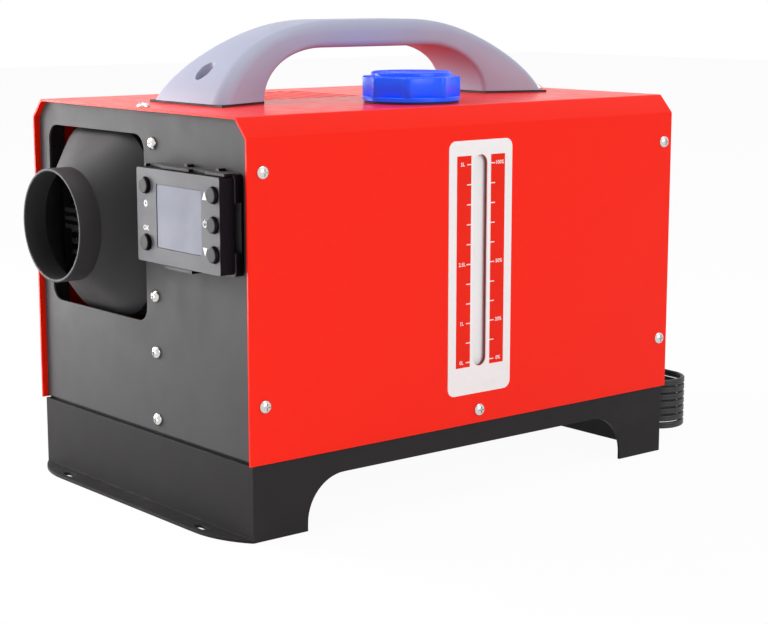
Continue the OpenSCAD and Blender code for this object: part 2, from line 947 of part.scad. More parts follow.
// Outline of the cap's grip: ribs with shallow hollows between them
module cap_grip() {
    half_gap = 180 / cap_ribs - rib_angle / 2;
    chord = cap_d / 2 * sin(half_gap);
    hollow_r = (chord * chord + cap_dip * cap_dip) / (2 * cap_dip);
    difference() {
        circle(cap_d / 2);
        for (i = [0 : cap_ribs - 1])
            rotate(360 / cap_ribs * (i + 0.5) + rib_phase)
                translate([cap_d / 2 * cos(half_gap) - cap_dip + hollow_r, 0]) circle(hollow_r);
    }
}

module fuel_cap() {
    shoulder = cap_h - cap_step;
    color("#1e50ff")
        difference() {
            translate([filler_x, filler_y, cap_z]) {
                cylinder(h = cap_skirt, d = cap_d);
                linear_extrude(shoulder) cap_grip();
                cylinder(h = cap_h, d = cap_top_d);
            }
            rod_z(filler_x, filler_y, cap_z - 1, cap_z + cap_h - cap_roof, neck_d / 2 + fit);
        }
}

module cap_seal() {
    seal_z = neck_top + running;
    color("#26262a")
        difference() {
            rod_z(filler_x, filler_y, seal_z, cap_z + cap_h - cap_roof - running, neck_d / 2 - 0.1);
            rod_z(filler_x, filler_y, seal_z - 1, cap_z + cap_h, neck_d / 2 - seal_w);
        }
}

module fuel_outlet() {
    color("#c8a850")
        difference() {
            union() {
                rod_x(outlet_y, outlet_z, outlet_end_x, tank_x + tank_wall, fitting_r - 0.02);
                rod_x(outlet_y, outlet_z, tank_x - fitting_flange_t, tank_x, fitting_flange_r);
            }
            rod_x(outlet_y, outlet_z, outlet_end_x - 1, tank_x + tank_wall + 1, port_r);
        }
}

module fuel_filter() {
    color("#d8dccb", 0.8) {
        rod_x(outlet_y, outlet_z, filter_x - filter_l / 2, filter_x + filter_l / 2, filter_r);
        rod_x(outlet_y, outlet_z, filter_x - filter_reach, filter_x + filter_reach, line_r - 0.2);
    }
}

module pump_body() {
    y0 = pump_y - pump_l / 2;
    y1 = pump_y + pump_l / 2;
    color("#9a9ca0")
        difference() {
            union() {
                rod_y(pump_x, pump_z, y0, y1, pump_d / 2);
                rod_y(pump_x, pump_z, y0 - fitting_l, y1 + fitting_l, fitting_r);
                block([pump_x - 8, pump_y - 12, pump_z], [pump_x + 8, pump_y + 8,
                    pump_z + pump_d / 2 + 10]);
            }
            rod_y(pump_x, pump_z, y0 + pump_head, y1 - pump_head, pump_bore_r);
            rod_y(pump_x, pump_z, y0 - fitting_l - 1, y1 + fitting_l + 1, port_r);
        }
}

module pump_plunger() {
    y0 = pump_y - pump_l / 2 + pump_head + fit;
    y1 = pump_y + pump_l / 2 - pump_head - fit - pump_stroke;
    color("#d0d2d4")
        difference() {
            rod_y(pump_x, pump_z, y0, y1, pump_bore_r - running);
            rod_y(pump_x, pump_z, y0 - 1, y1 + 1, port_r);
        }
}

module pump_clamp() {
    y1 = clamp_y + clamp_w;
    neck = clamp_foot_w / 4;
    foot = clamp_foot_w / 2;
    color("#222224")
        difference() {
            union() {
                rod_y(pump_x, pump_z, clamp_y, y1, pump_d / 2 + clamp_wall);
                block([pump_x - neck, clamp_y, tray_top], [pump_x + neck, y1, pump_z]);
                block([pump_x - foot, clamp_y, tray_top], [pump_x + foot, y1, tray_top + 3]);
            }
            rod_y(pump_x, pump_z, clamp_y - 1, y1 + 1, pump_d / 2 + running);
        }
}

// Fuel hoses end to end with the fittings: tank to filter, filter to pump, pump to heater
module fuel_hose(points) {
    sweep(rounded(points, bend_r), round_section(line_r, line_sides), [-1, -1, 1]);
}

module fuel_lines() {
    pump_in = pump_y - pump_l / 2 - fitting_l;
    pump_out = pump_y + pump_l / 2 + fitting_l;
    color("#1f5f3a") {
        fuel_hose([[outlet_end_x, outlet_y, outlet_z], [outlet_end_x - 8, outlet_y, outlet_z],
            [filter_x + filter_reach, outlet_y, outlet_z]]);
        fuel_hose([[filter_x - filter_reach, outlet_y, outlet_z], [pump_x, outlet_y, outlet_z],
            [pump_x, pump_in, pump_z]]);
        fuel_hose([[pump_x, pump_out, pump_z], [pump_x, nipple_y, pump_z],
            [nipple_x, nipple_y, pump_z], [nipple_x, nipple_y, heater_z - pad_low]]);
    }
}

// Heater unit

module at_heater() {
    translate([heater_x, 0, heater_z]) children();
}

// Loft from the round spigot to the square casing, both moved in by t
module hood_loft(t) {
    hull() {
        rod_y(0, 0, spigot_root_y - t * 0.01, spigot_root_y + 0.5, spigot_d / 2 - t, $fn = 32);
        along_y(hood_end_y, hood_end_y + 0.5 + t * 0.01)
            round_rect(heater_w - 2 * t, heater_h - 2 * t, casing_r - t, $fn = 32);
    }
}

module outlet_hood() {
    color("#3e3c3e")
        at_heater()
            difference() {
                union() {
                    rod_y(0, 0, spigot_tip_y, spigot_root_y + 0.5, spigot_d / 2);
                    hood_loft(0);
                    along_y(hood_end_y, casing_y) round_rect(heater_w, heater_h, casing_r);
                }
                rod_y(0, 0, spigot_tip_y - 1, spigot_root_y + 0.4, spigot_d / 2 - spigot_wall);
                hood_loft(spigot_wall);
                along_y(hood_end_y + 0.4, casing_y + 1)
                    round_rect(heater_w - 2 * spigot_wall, heater_h - 2 * spigot_wall,
                        casing_r - spigot_wall);
            }
}

// Casing tube of the heater unit, cut to the upper or lower half
module casing_half(up) {
    difference() {
        along_y(casing_y, casing_end_y)
            intersection() {
                difference() {
                    round_rect(heater_w, heater_h, casing_r);
                    round_rect(heater_w - 2 * heater_wall, heater_h - 2 * heater_wall,
                        casing_r - heater_wall);
                }
                translate([-heater_w, up ? 0 : -heater_h]) square([2 * heater_w, heater_h]);
            }
        block([-base_half_w - fit, base_y - fit, -heater_h], [base_half_w + fit,
            base_y + base_l + fit, -fin_half_h]);
        rod_z(nipple_x - heater_x, nipple_y, -heater_h, -fin_half_h, nipple_room);
    }
}

// Inside ribs that hold the exchanger, the burner flange and the motor
module casing_ribs(up) {
    inner_w = heater_w - 2 * heater_wall + 0.4;
    inner_h = heater_h - 2 * heater_wall + 0.4;
    for (y = [fin_y + front_rib_in, fin_end_y + burner_flange_t + cup_l, motor_y + motor_rib_in])
        along_y(y, y + shell_rib_t)
            intersection() {
                difference() {
                    round_rect(inner_w, inner_h, casing_r - heater_wall);
                    if (y == fin_y + front_rib_in)
                        round_rect(2 * fin_half_w + 2 * fit, 2 * fin_half_h + 2 * fit, 4);
                    else
                        circle(y > motor_y ? motor_seat_r : burner_flange_r - burner_flange_t);
                }
                translate([-heater_w, up ? 0 : -heater_h]) square([2 * heater_w, heater_h]);
            }
}

module heater_lower_shell() {
    color("#2c2c30")
        at_heater() {
            casing_half(false);
            difference() {
                casing_ribs(false);
                rod_z(nipple_x - heater_x, nipple_y, -heater_h, 0, 2 * pad_half_w);
            }
        }
}

module heater_upper_shell() {
    color("#34343a")
        at_heater() {
            casing_half(true);
            difference() {
                casing_ribs(true);
                block([-box_half_w - box_room, motor_y - motor_boss, motor_d / 2 - 3],
                    [box_half_w + box_room, motor_end_y + motor_boss,
                    heater_h / 2 - heater_wall - 3]);
            }
        }
}

module exchanger_shape() {
    for (k = [-4 : 5])
        translate([0, (k - 0.4) * fin_pitch + 0.5])
            square([2 * fin_half_w, fin_t], center = true);
    for (k = [-4 : 4])
        translate([k * fin_pitch, 0]) square([fin_t, 2 * fin_half_h], center = true);
    circle(core_r);
}

// Bars across the hot-air outlet, on two posts that reach back to the exchanger's fins
module outlet_grille() {
    bar_end_y = fin_y - fit - 1;
    post_h = outlet_bar_pitch + outlet_bar_t / 2 - 0.4;
    post_x = outlet_bar_half_w - outlet_post_in;
    color("#3e3c3e")
        at_heater() {
            for (k = [-1 : 1])
                block([-outlet_bar_half_w, bar_front_y, k * outlet_bar_pitch - outlet_bar_t / 2],
                    [outlet_bar_half_w, bar_end_y, k * outlet_bar_pitch + outlet_bar_t / 2]);
            for (x = [-post_x, post_x])
                block([x - outlet_post_half_w, bar_front_y + outlet_post_in, -post_h],
                    [x + outlet_post_half_w, fin_y - fit, post_h]);
        }
}

module heat_exchanger() {
    color("#b9bbbe")
        at_heater()
            difference() {
                union() {
                    along_y(fin_y, fin_end_y) exchanger_shape();
                    block([-base_half_w, base_y, -heater_h / 2], [base_half_w, base_y + base_l,
                        -core_r + 4]);
                }
                rod_y(0, 0, fin_y + 8, fin_end_y + 1, core_bore);
                rod_z(0, exhaust_y, -heater_h, 0, exhaust_d / 2 - port_wall);
                rod_z(0, intake_y, -heater_h, 0, intake_d / 2 - port_wall);
                for (s = [-1, 1])
                    rod_z(s * stud_x, stud_y, -heater_h, -heater_h / 2 + stud_depth, stud_r);
            }
}

module burner_tube() {
    y0 = fin_end_y;
    y1 = y0 + burner_flange_t;
    color("#8a7f74")
        at_heater()
            difference() {
                union() {
                    rod_y(0, 0, y0 - burner_l, y0 + 1, burner_r);
                    rod_y(0, 0, y0, y1, burner_flange_r);
                    rod_y(0, 0, y1 - 1, y1 + cup_l, cup_r);
                    block([nipple_x - heater_x - pad_half_w, y1 - 1, -pad_low],
                        [nipple_x - heater_x + pad_half_w, y1 + cup_l, -pad_high]);
                }
                rod_y(0, 0, y0 - burner_l - 1, y1 - burner_t, burner_r - burner_t);
                rod_y(0, 0, y1 - 0.5, y1 + cup_l + 1, cup_bore_r);
                rod_y(air_hole_x, 0, y1 - 3, y1 + 1, air_hole_r);
                rod_y(plug_at, plug_at, y0 - 1, y1 + 1, plug_r);
            }
}

module glow_plug() {
    y1 = fin_end_y + burner_flange_t;
    color("#e0d8b8")
        at_heater() {
            rod_y(plug_at, plug_at, y1 - plug_l, y1, plug_r - running);
            translate([plug_at, y1 - 0.5, plug_at]) rotate([-90, 0, 0])
                cylinder(h = plug_hex_h, r = plug_hex_r, $fn = 6);
            rod_y(plug_at, plug_at, y1 + plug_hex_h - 1, y1 + 2 * plug_hex_h, plug_r / 2);
        }
}

module blower_motor() {
    ring_y = motor_y + motor_rib_in + shell_rib_t + fit;
    color("#55585c")
        at_heater()
            difference() {
                union() {
                    rod_y(0, 0, motor_y, motor_end_y, motor_d / 2);
                    rod_y(0, 0, ring_y, ring_y + motor_ring_t, motor_seat_r + motor_ring_lap);
                    rod_y(0, 0, motor_y - motor_boss, motor_end_y + motor_boss, motor_boss_r);
                }
                rod_y(0, 0, motor_y - motor_boss - 1, motor_end_y + motor_boss + 1,
                    shaft_d / 2 + running);
                block([-box_half_w - 1.5 * box_room, motor_y - 1, motor_d / 2 + fit / 2],
                    [box_half_w + 1.5 * box_room, motor_end_y, heater_h]);
                for (a = [150 : 60 : 390])
                    rotate([0, a, 0])
                        rod_y(0, motor_slot_at, ring_y - 1, ring_y + motor_ring_t + 1,
                            motor_slot_r);
            }
}

module motor_shaft() {
    color("#c9ccd0")
        at_heater()
            rod_y(0, 0, comb_fan_y - motor_boss, fan_y + fan_depth + 3, shaft_d / 2);
}

// Blade between the hub and the fan's edge, turned to push air forward
module fan_blade(tip_r) {
    intersection() {
        rotate([0, 90, 0]) translate([0, 0, hub_d / 2 - 2])
            rotate([0, 0, blade_turn]) translate([-fan_depth * 0.68, -blade_t / 2, 0])
                cube([fan_depth * 1.36, blade_t, tip_r]);
        rod_y(0, 0, fan_inset - fan_depth / 2, fan_depth / 2 - fan_inset, tip_r);
    }
}

module air_fan() {
    color("#1d1d20")
        at_heater()
            difference() {
                union() {
                    rod_y(0, 0, fan_y, fan_y + fan_depth, hub_d / 2);
                    for (i = [0 : fan_blades - 1])
                        translate([0, fan_y + fan_depth / 2, 0])
                            rotate([0, 360 / fan_blades * i, 0]) fan_blade(fan_d / 2);
                }
                rod_y(0, 0, fan_y - 1, fan_y + fan_depth + 1, shaft_d / 2);
            }
}

module combustion_fan() {
    color("#77797c")
        at_heater()
            difference() {
                union() {
                    rod_y(0, 0, comb_fan_y + comb_fan_l - comb_disc_t, comb_fan_y + comb_fan_l,
                        comb_fan_r);
                    rod_y(0, 0, comb_fan_y, comb_fan_y + comb_fan_l, comb_hub_r);
                    for (i = [1 : comb_blades])
                        rotate([0, 360 / comb_blades * i, 0])
                            block([-blade_t / 2, comb_fan_y, comb_blade_in], [blade_t / 2,
                                comb_fan_y + comb_fan_l - 1, comb_fan_r - 2]);
                }
                rod_y(0, 0, comb_fan_y - 1, comb_fan_y + comb_fan_l + 1, shaft_d / 2);
            }
}

module control_box() {
    color("#2a3a2c")
        at_heater() {
            block([-box_half_w, motor_y + box_shift, motor_d / 2 + fit],
                [box_half_w, motor_end_y + box_shift, heater_h / 2 - heater_wall - box_drop]);
        }
}

module overheat_sensor() {
    top_z = heater_h / 2 - heater_wall - fit;
    color("#d8d8d0")
        at_heater()
            block([-sensor_half_w, fin_end_y - sensor_in, fin_half_h],
                [sensor_half_w, fin_end_y - sensor_in + sensor_l, top_z]);
}

module intake_grille() {
    color("#2c2c30")
        at_heater() {
            along_y(casing_end_y, casing_end_y + grille_t)
                difference() {
                    round_rect(heater_w, heater_h, casing_r);
                    circle(grille_open_r);
                }
            for (k = [1 : 4])
                along_y(casing_end_y, casing_end_y + grille_bar_t)
                    difference() {
                        circle(grille_open_r * k / 4 - 2.5);
                        circle(grille_open_r * k / 4 - 2.5 - grille_bar_t);
                    }
            rod_y(0, 0, casing_end_y, casing_end_y + grille_bar_t, 1.6 * grille_bar_t);
            for (a = [0, 60, 120])
                rotate([0, a, 0])
                    block([-grille_bar_t / 2, casing_end_y, -grille_open_r - 1],
                        [grille_bar_t / 2, casing_end_y + grille_bar_t, grille_open_r + 1]);
        }
}

module heater_bracket() {
    y1 = bracket_y + bracket_l;
    w = heater_w / 2;
    color("#a9abad")
        translate([heater_x, 0, 0])
            difference() {
                union() {
                    block([-w, bracket_y, bracket_top - plate_t], [w, y1, bracket_top]);
                    for (s = [0, 1])
                        mirror([s, 0, 0]) {
                            block([w - plate_t, bracket_y, tray_top], [w, y1, bracket_top]);
                            block([w - bracket_leg_foot, bracket_y, tray_top], [w, y1, tray_top + plate_t]);
                        }
                }
                rod_z(0, exhaust_y, tray_top, bracket_top + 1, exhaust_d / 2 + fit);
                rod_z(0, intake_y, tray_top, bracket_top + 1, intake_d / 2 + fit);
                for (s = [-1, 1]) {
                    rod_z(s * stud_x, stud_y, tray_top + 5, bracket_top + 1,
                        stud_r + fit);
                    rod_x(bracket_hole_y, tray_top + bracket_hole_z, s * w - 5, s * w + 5,
                        bracket_hole_r);
                }
                rod_z(nipple_x - heater_x, nipple_y, bracket_top - 5, bracket_top + 1, line_r + 2);
                block([-w - 1, bracket_y - 1, tray_top - 1], [-w + bracket_notch_w,
                    pump_y + bracket_notch_l, bracket_top - plate_t - bracket_notch_drop]);
            }
}

module mount_gasket() {
    color("#3a3f3a")
        translate([heater_x, 0, 0])
            difference() {
                block([-base_half_w, base_y, bracket_top], [base_half_w, base_y + base_l,
                    bracket_top + gasket_t]);
                rod_z(0, exhaust_y, bracket_top - 1, bracket_top + gasket_t + 1, exhaust_d / 2 + fit);
                rod_z(0, intake_y, bracket_top - 1, bracket_top + gasket_t + 1, intake_d / 2 + fit);
                for (s = [-1, 1])
                    rod_z(s * stud_x, stud_y, bracket_top - 1, bracket_top + gasket_t + 1,
                        stud_r + fit);
            }
}

module heater_studs() {
    nut_z = bracket_top - plate_t - stud_nut_h;
    color("silver")
        translate([heater_x, 0, 0])
            for (s = [-1, 1])
                translate([s * stud_x, stud_y, 0]) {
                    rod_z(0, 0, nut_z - 4, bracket_top + gasket_t + stud_depth, stud_r - 0.02);
                    translate([0, 0, nut_z]) cylinder(h = stud_nut_h, r = stud_nut_r, $fn = 6);
                }
}

module exhaust_stub() {
    color("#9c938a")
        translate([heater_x, exhaust_y, 0])
            difference() {
                union() {
                    rod_z(0, 0, stub_end, bracket_top + gasket_t, exhaust_d / 2);
                    rod_z(0, 0, collar_z, collar_z + collar_t, exhaust_d / 2 + collar_out);
                }
                rod_z(0, 0, stub_end - 1, bracket_top + 20, exhaust_d / 2 - stub_wall);
            }
}

module air_intake_stub() {
    color("#2a2a2c")
        translate([heater_x, intake_y, 0])
            difference() {
                union() {
                    rod_z(0, 0, stub_end, bracket_top + gasket_t, intake_d / 2);
                    rod_z(0, 0, collar_z, collar_z + collar_t, intake_d / 2 + collar_out);
                }
                rod_z(0, 0, stub_end - 1, bracket_top + 20, intake_d / 2 - stub_wall);
            }
}

// Back of the case

module rear_grille() {
    y0 = -panel_y;
    color("#1a1a1c")
        at_heater() {
            along_y(y0, y0 + rear_grille_t)
                difference() {
                    circle(grille_hole_r + rear_grille_lap);
                    circle(grille_hole_r - rear_grille_rim);
                }
            for (k = [1 : 4])
                along_y(y0 + 0.4, y0 + rear_grille_t)
                    difference() {
                        circle(rear_ring_step * k + rear_bar_w / 2);
                        circle(rear_ring_step * k - rear_bar_w / 2);
                    }
            for (a = [45, 135])
                rotate([0, a, 0])
                    block([-rear_bar_w / 2, y0, -grille_hole_r],
                        [rear_bar_w / 2, y0 + rear_grille_t, grille_hole_r]);
        }
}

module cord_gland() {
    y0 = -panel_in_y - gland_nut_t;
    y1 = -panel_y;
    color("#19191b")
        translate([gland_x, 0, gland_z])
            difference() {
                union() {
                    rod_y(0, 0, y0, y1 + 2, gland_r - 0.1);
                    rod_y(0, 0, y1, y1 + gland_head, gland_r + gland_flange);
                    rod_y(0, 0, y0, -panel_in_y, gland_r + gland_flange);
                    translate([0, y1 + gland_head - 1, 0]) rotate([-90, 0, 0])
                        cylinder(h = gland_tip_y - y1 - gland_head + 1, r1 = gland_neck_r,
                            r2 = gland_tip_r);
                }
                rod_y(0, 0, y0 - 1, y1 - 2, gland_bore_r);
            }
}

// Power cord

// One turn of the hank: two straight runs and two round ends
end_len = PI * hank_r;
turn_len = 2 * hank_run + 2 * end_len;

// Angle round the hank's ends at distance u from the start of a turn
function hank_angle(u) =
    u < hank_run ? 0
    : u < hank_run + end_len ? (u - hank_run) / end_len * 180
    : u < 2 * hank_run + end_len ? 180
    : 180 + (u - 2 * hank_run - end_len) / end_len * 180;

// Place along the runs at distance u from the start of a turn
function hank_slide(u) =
    u < hank_run ? u - hank_run
    : u < hank_run + end_len ? 0
    : u < 2 * hank_run + end_len ? hank_run + end_len - u
    : -hank_run;

// Point of the wound cord in turn t, which climbs at a steady rate
function hank_point(t, u) = [hank_x + hank_slide(u) + hank_r * sin(hank_angle(u)),
    hank_y - hank_r * cos(hank_angle(u)), hank_z + hank_pitch * (t + u / turn_len)];

// Distances along one turn at which the cord has a ring
turn_rings = concat([0, hank_run / 2],
    [for (i = [0 : end_steps]) hank_run + end_len * i / end_steps],
    [1.5 * hank_run + end_len],
    [for (i = [0 : end_steps - 1]) 2 * hank_run + end_len + end_len * i / end_steps]);

hank_path = concat([hank_point(0, 0) - [hank_end, 0, 0]],
    [for (t = [0 : hank_turns - 1], u = turn_rings) hank_point(t, u)],
    [hank_point(hank_turns, 0), hank_point(hank_turns, 0) + [hank_end, 0, 0]]);

// Least gap between one turn and the next, face to face
hank_gap = min([for (i = [1 : len(hank_path) - len(turn_rings) - 2])
    norm(hank_path[i + len(turn_rings)] - hank_path[i])]) - cord_w;
echo(hank_gap = hank_gap);

// Smooth route from one end to the other, leaving and arriving by the given steps
function curved(start, out, back, finish, n) =
    [for (i = [0 : n]) bezier([start, start + out, finish + back, finish], i / n)];

gland_tip = [gland_x, gland_tip_y, gland_z];
cord_lead_points = curved(gland_tip, [0, 17, 0], [26.3, 0, 0.6],
    hank_point(hank_turns, 0) + [hank_end, 0, 0], 18);
core_start = hank_point(0, 0) - [hank_end, 0, 0];
core_red_points = curved(core_start + [0, 0, cord_w / 4], [-20, 0, 0], [30, 0, -0.4],
    [terminal_x, red_y, terminal_z], 12);
core_black_points = curved(core_start - [0, 0, cord_w / 4], [-30, 0, -0.6],
    [30, 0, -0.4], [terminal_x, black_y, terminal_z], 12);

module power_cord_hank() {
    color("#2b2a2c") sweep(hank_path, flat_section, [0, 0, 1]);
}

module power_cord_lead() {
    color("#2b2a2c") sweep(cord_lead_points, flat_section, [0, 0, 1]);
}

module cord_ties() {
    gap = cord_t / 2 + fit;
    top_z = hank_z + hank_pitch * (hank_turns - 1 + hank_run / turn_len) + cord_w / 2 + 0.1;
    color("#101012")
        for (x = [hank_x - hank_run * 0.3, hank_x - hank_run * 0.75])
            translate([x, hank_y - hank_r, 0])
                difference() {
                    block([0, -gap - tie_t, 0], [4, gap + tie_t, top_z + tie_t]);
                    block([-1, -gap, tie_t], [5, gap, top_z]);
                }
}

module cord_cores() {
    color("#c02018") sweep(core_red_points, round_section(core_r1, 8), [0, 0, 1]);
    color("#1c1c1e") sweep(core_black_points, round_section(core_r1, 8), [0, 0, 1]);
}

module ring_terminals() {
    color("#c7a45a")
        for (p = [core_red_points, core_black_points])
            translate(p[len(p) - 1])
                difference() {
                    union() {
                        rod_x(0, 0, -barrel_l, 0, terminal_r);
                        rod_z(-eye_reach, 0, -terminal_r, eye_t - terminal_r, eye_r);
                        block([4 - eye_reach, -2, -terminal_r], [1 - barrel_l, 2,
                            eye_t - terminal_r]);
                    }
                    rod_z(-eye_reach, 0, -4, 4, eye_hole_r);
                }
}

// Controller

module at_ctrl() {
    translate([ctrl_x, 0, ctrl_z]) children();
}

module controller_case() {
    color("#1b191c")
        at_ctrl()
            difference() {
                union() {
                    difference() {
                        along_y(ctrl_front, ctrl_back) round_rect(ctrl_w, ctrl_h, ctrl_r);
                        along_y(ctrl_front - 1, ctrl_back - ctrl_back_wall)
                            round_rect(ctrl_w - 2 * ctrl_wall, ctrl_h - 2 * ctrl_wall, 1);
                    }
                    for (sx = [-1, 1], sz = [-1, 1])
                        rod_y(sx * (ctrl_w / 2 - post_in), sz * (ctrl_h / 2 - post_in),
                            board_y + board_t, ctrl_back - 0.1, post_in / 2);
                }
                rod_y(0, 0, ctrl_back - 3, ctrl_back + 1, cable_room_r);
            }
}

// Button centres from the controller's middle
button_spots = [for (b = [[button_left_x, 1], [button_left_x, -1], [button_x, 1],
        [button_x, 0], [button_x, -1]])
    [b[0], b[1] * button_rows + button_rise]];

module controller_bezel() {
    color("#97969a")
        difference() {
            at_ctrl() along_y(face_y, ctrl_front)
                difference() {
                    round_rect(ctrl_w, ctrl_h, ctrl_r);
                    for (b = button_spots)
                        translate(b) circle(button_d / 2 + button_gap);
                }
            along_y(face_y - 1, ctrl_front + 1)
                translate([lcd_x, lcd_z]) round_rect(lcd_w, lcd_h, 1);
        }
}

module lcd_lens() {
    color("#a5aabe")
        translate([lcd_x, 0, lcd_z]) {
            along_y(face_y + 0.3, ctrl_front + 0.2)
                round_rect(lcd_w - 0.3, lcd_h - 0.3, 0.9);
            along_y(ctrl_front, ctrl_front + 0.8) round_rect(lcd_w + 3, lcd_h + 3, 1);
        }
}

module controller_board() {
    color("#1d5c34")
        at_ctrl() {
            along_y(board_y, board_y + board_t)
                round_rect(ctrl_w - 2 * ctrl_wall - 0.6, ctrl_h - 2 * ctrl_wall - 0.6, 1);
        }
}

module controller_holder() {
    w = ctrl_w + 2 * holder_out;
    h = ctrl_h + 2 * holder_out;
    y0 = ctrl_back + 0.1;
    lip_y = face_y + holder_lip_y;
    low = ctrl_h / 2 + 1.3;
    color("#232225")
        at_ctrl()
            difference() {
                union() {
                    difference() {
                        along_y(y0, panel_y) round_rect(w, h, 4);
                        along_y(y0 - 1, panel_y - holder_t)
                            round_rect(w - 2 * holder_wall, h - 2 * holder_wall, 3);
                        block([w / 2 - 5, y0 - 1, -16], [w / 2 + 1, panel_y - holder_t, 13.5]);
                    }
                    block([-36, ctrl_back, -22], [36, panel_y, 22]);
                    block([3 - ctrl_w / 2, lip_y, ctrl_h / 2 + fit],
                        [ctrl_w / 2 - 0.7, y0 + 2, h / 2 + 0.2]);
                    block([-21, lip_y, -low - 2], [8.5, panel_y, -low]);
                    for (x = [-6.7, 26.8])
                        rod_y(x, h / 2, y0 + 1, panel_y, 1.8);
                }
                rod_y(0, 0, ctrl_back - 1, panel_y + 1, cable_room_r);
                for (x = [-40.2, 6.9])
                    block([x, lip_y - 1, ctrl_h / 2], [x + 17, lip_y + 3, h / 2 + 1]);
            }
}

module controller_cable() {
    y0 = board_y + board_t;
    side_x = heater_x + heater_w / 2 + 3;
    color("#242426")
        sweep(rounded([[ctrl_x, y0, ctrl_z], [ctrl_x, cable_y, ctrl_z],
            [ctrl_x - 14, cable_y, cable_z], [side_x, cable_y, cable_z],
            [side_x, motor_y, cable_z], [side_x, motor_y + 12, cable_z]], bend_r),
            round_section(cable_r, line_sides), [1, -1, 1]);
}

module button(b) {
    color("#4c4a4e")
        at_ctrl()
            rod_y(b[0], b[1], face_y - button_out, face_y - button_out + button_len, button_d / 2);
}

module menu_button() {
    button(button_spots[0]);
}

module ok_button() {
    button(button_spots[1]);
}

module up_button() {
    button(button_spots[2]);
}

module power_button() {
    button(button_spots[3]);
}

module down_button() {
    button(button_spots[4]);
}

base_stand();
floor_plate();
outer_cover();
front_panel();
rear_panel();
divider_panel();
carry_handle();
handle_pads();
handle_screws();
cover_screws();
panel_screws();
gauge_plate();
gauge_scale();
fuel_tank();
filler_gasket();
fuel_outlet();
fuel_filter();
pump_body();
pump_plunger();
pump_clamp();
fuel_lines();
outlet_hood();
outlet_grille();
heater_lower_shell();
heater_upper_shell();
heat_exchanger();
burner_tube();
glow_plug();
blower_motor();
motor_shaft();
air_fan();
combustion_fan();
control_box();
overheat_sensor();
intake_grille();
heater_bracket();
mount_gasket();
heater_studs();
exhaust_stub();
air_intake_stub();
rear_grille();
cord_gland();
power_cord_lead();
power_cord_hank();
cord_ties();
cord_cores();
ring_terminals();
controller_case();
controller_bezel();
lcd_lens();
controller_board();
controller_holder();
controller_cable();
menu_button();
ok_button();
up_button();
power_button();
down_button();
cap_seal();
fuel_cap();
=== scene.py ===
"""Looks of a portable diesel air heater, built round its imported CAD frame."""
import json
import math

import bmesh
import bpy
from mathutils import Matrix, Vector


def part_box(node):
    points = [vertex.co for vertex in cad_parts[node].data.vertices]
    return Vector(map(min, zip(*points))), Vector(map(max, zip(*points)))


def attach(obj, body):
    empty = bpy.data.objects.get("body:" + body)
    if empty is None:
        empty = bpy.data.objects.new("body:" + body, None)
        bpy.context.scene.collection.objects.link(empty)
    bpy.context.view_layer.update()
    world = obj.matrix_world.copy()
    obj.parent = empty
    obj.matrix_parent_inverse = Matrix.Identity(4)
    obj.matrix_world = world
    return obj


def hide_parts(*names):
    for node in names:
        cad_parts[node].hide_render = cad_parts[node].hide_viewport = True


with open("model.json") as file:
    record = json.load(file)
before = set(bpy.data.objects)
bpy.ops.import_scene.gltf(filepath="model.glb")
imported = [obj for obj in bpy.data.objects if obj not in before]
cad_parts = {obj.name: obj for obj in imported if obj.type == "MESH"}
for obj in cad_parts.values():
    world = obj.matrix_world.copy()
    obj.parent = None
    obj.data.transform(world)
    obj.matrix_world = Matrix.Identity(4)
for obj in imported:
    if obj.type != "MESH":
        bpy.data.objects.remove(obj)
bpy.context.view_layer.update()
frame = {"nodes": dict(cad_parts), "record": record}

MM = 0.001
NODES = frame["nodes"]
RECORD = frame["record"]
SLOT_OF = {part["node"]: part["material_slot"] for part in RECORD["subparts"]}
BODY_OF = {node: body for body, nodes in RECORD["behaviour"]["bodies"].items() for node in nodes}
CASE = BODY_OF["outer_cover"]


def box_mm(node):
    """Lowest and highest corner of a CAD node, in millimetres."""
    low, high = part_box(node)
    return low / MM, high / MM


# Camera

PHOTO_SIZE = (768, 624)
PHOTO_AZIMUTH = 50.571
PHOTO_ELEVATION = 10.009
PHOTO_FOCAL_PX = 1832.93
PHOTO_POSITION = (0.98783, -0.78827, 0.32698)


def make_camera():
    """The camera that was fitted to the corners of the case in the photograph."""
    data = bpy.data.cameras.new("photo_camera")
    data.sensor_fit = "HORIZONTAL"
    data.sensor_width = 36
    data.lens = PHOTO_FOCAL_PX / PHOTO_SIZE[0] * data.sensor_width
    data.clip_start = 0.05
    camera = bpy.data.objects.new("photo_camera", data)
    camera.location = PHOTO_POSITION
    camera.rotation_euler = (math.radians(90 - PHOTO_ELEVATION), 0, math.radians(PHOTO_AZIMUTH))
    bpy.context.scene.collection.objects.link(camera)
    bpy.context.scene.camera = camera


make_camera()


# Materials

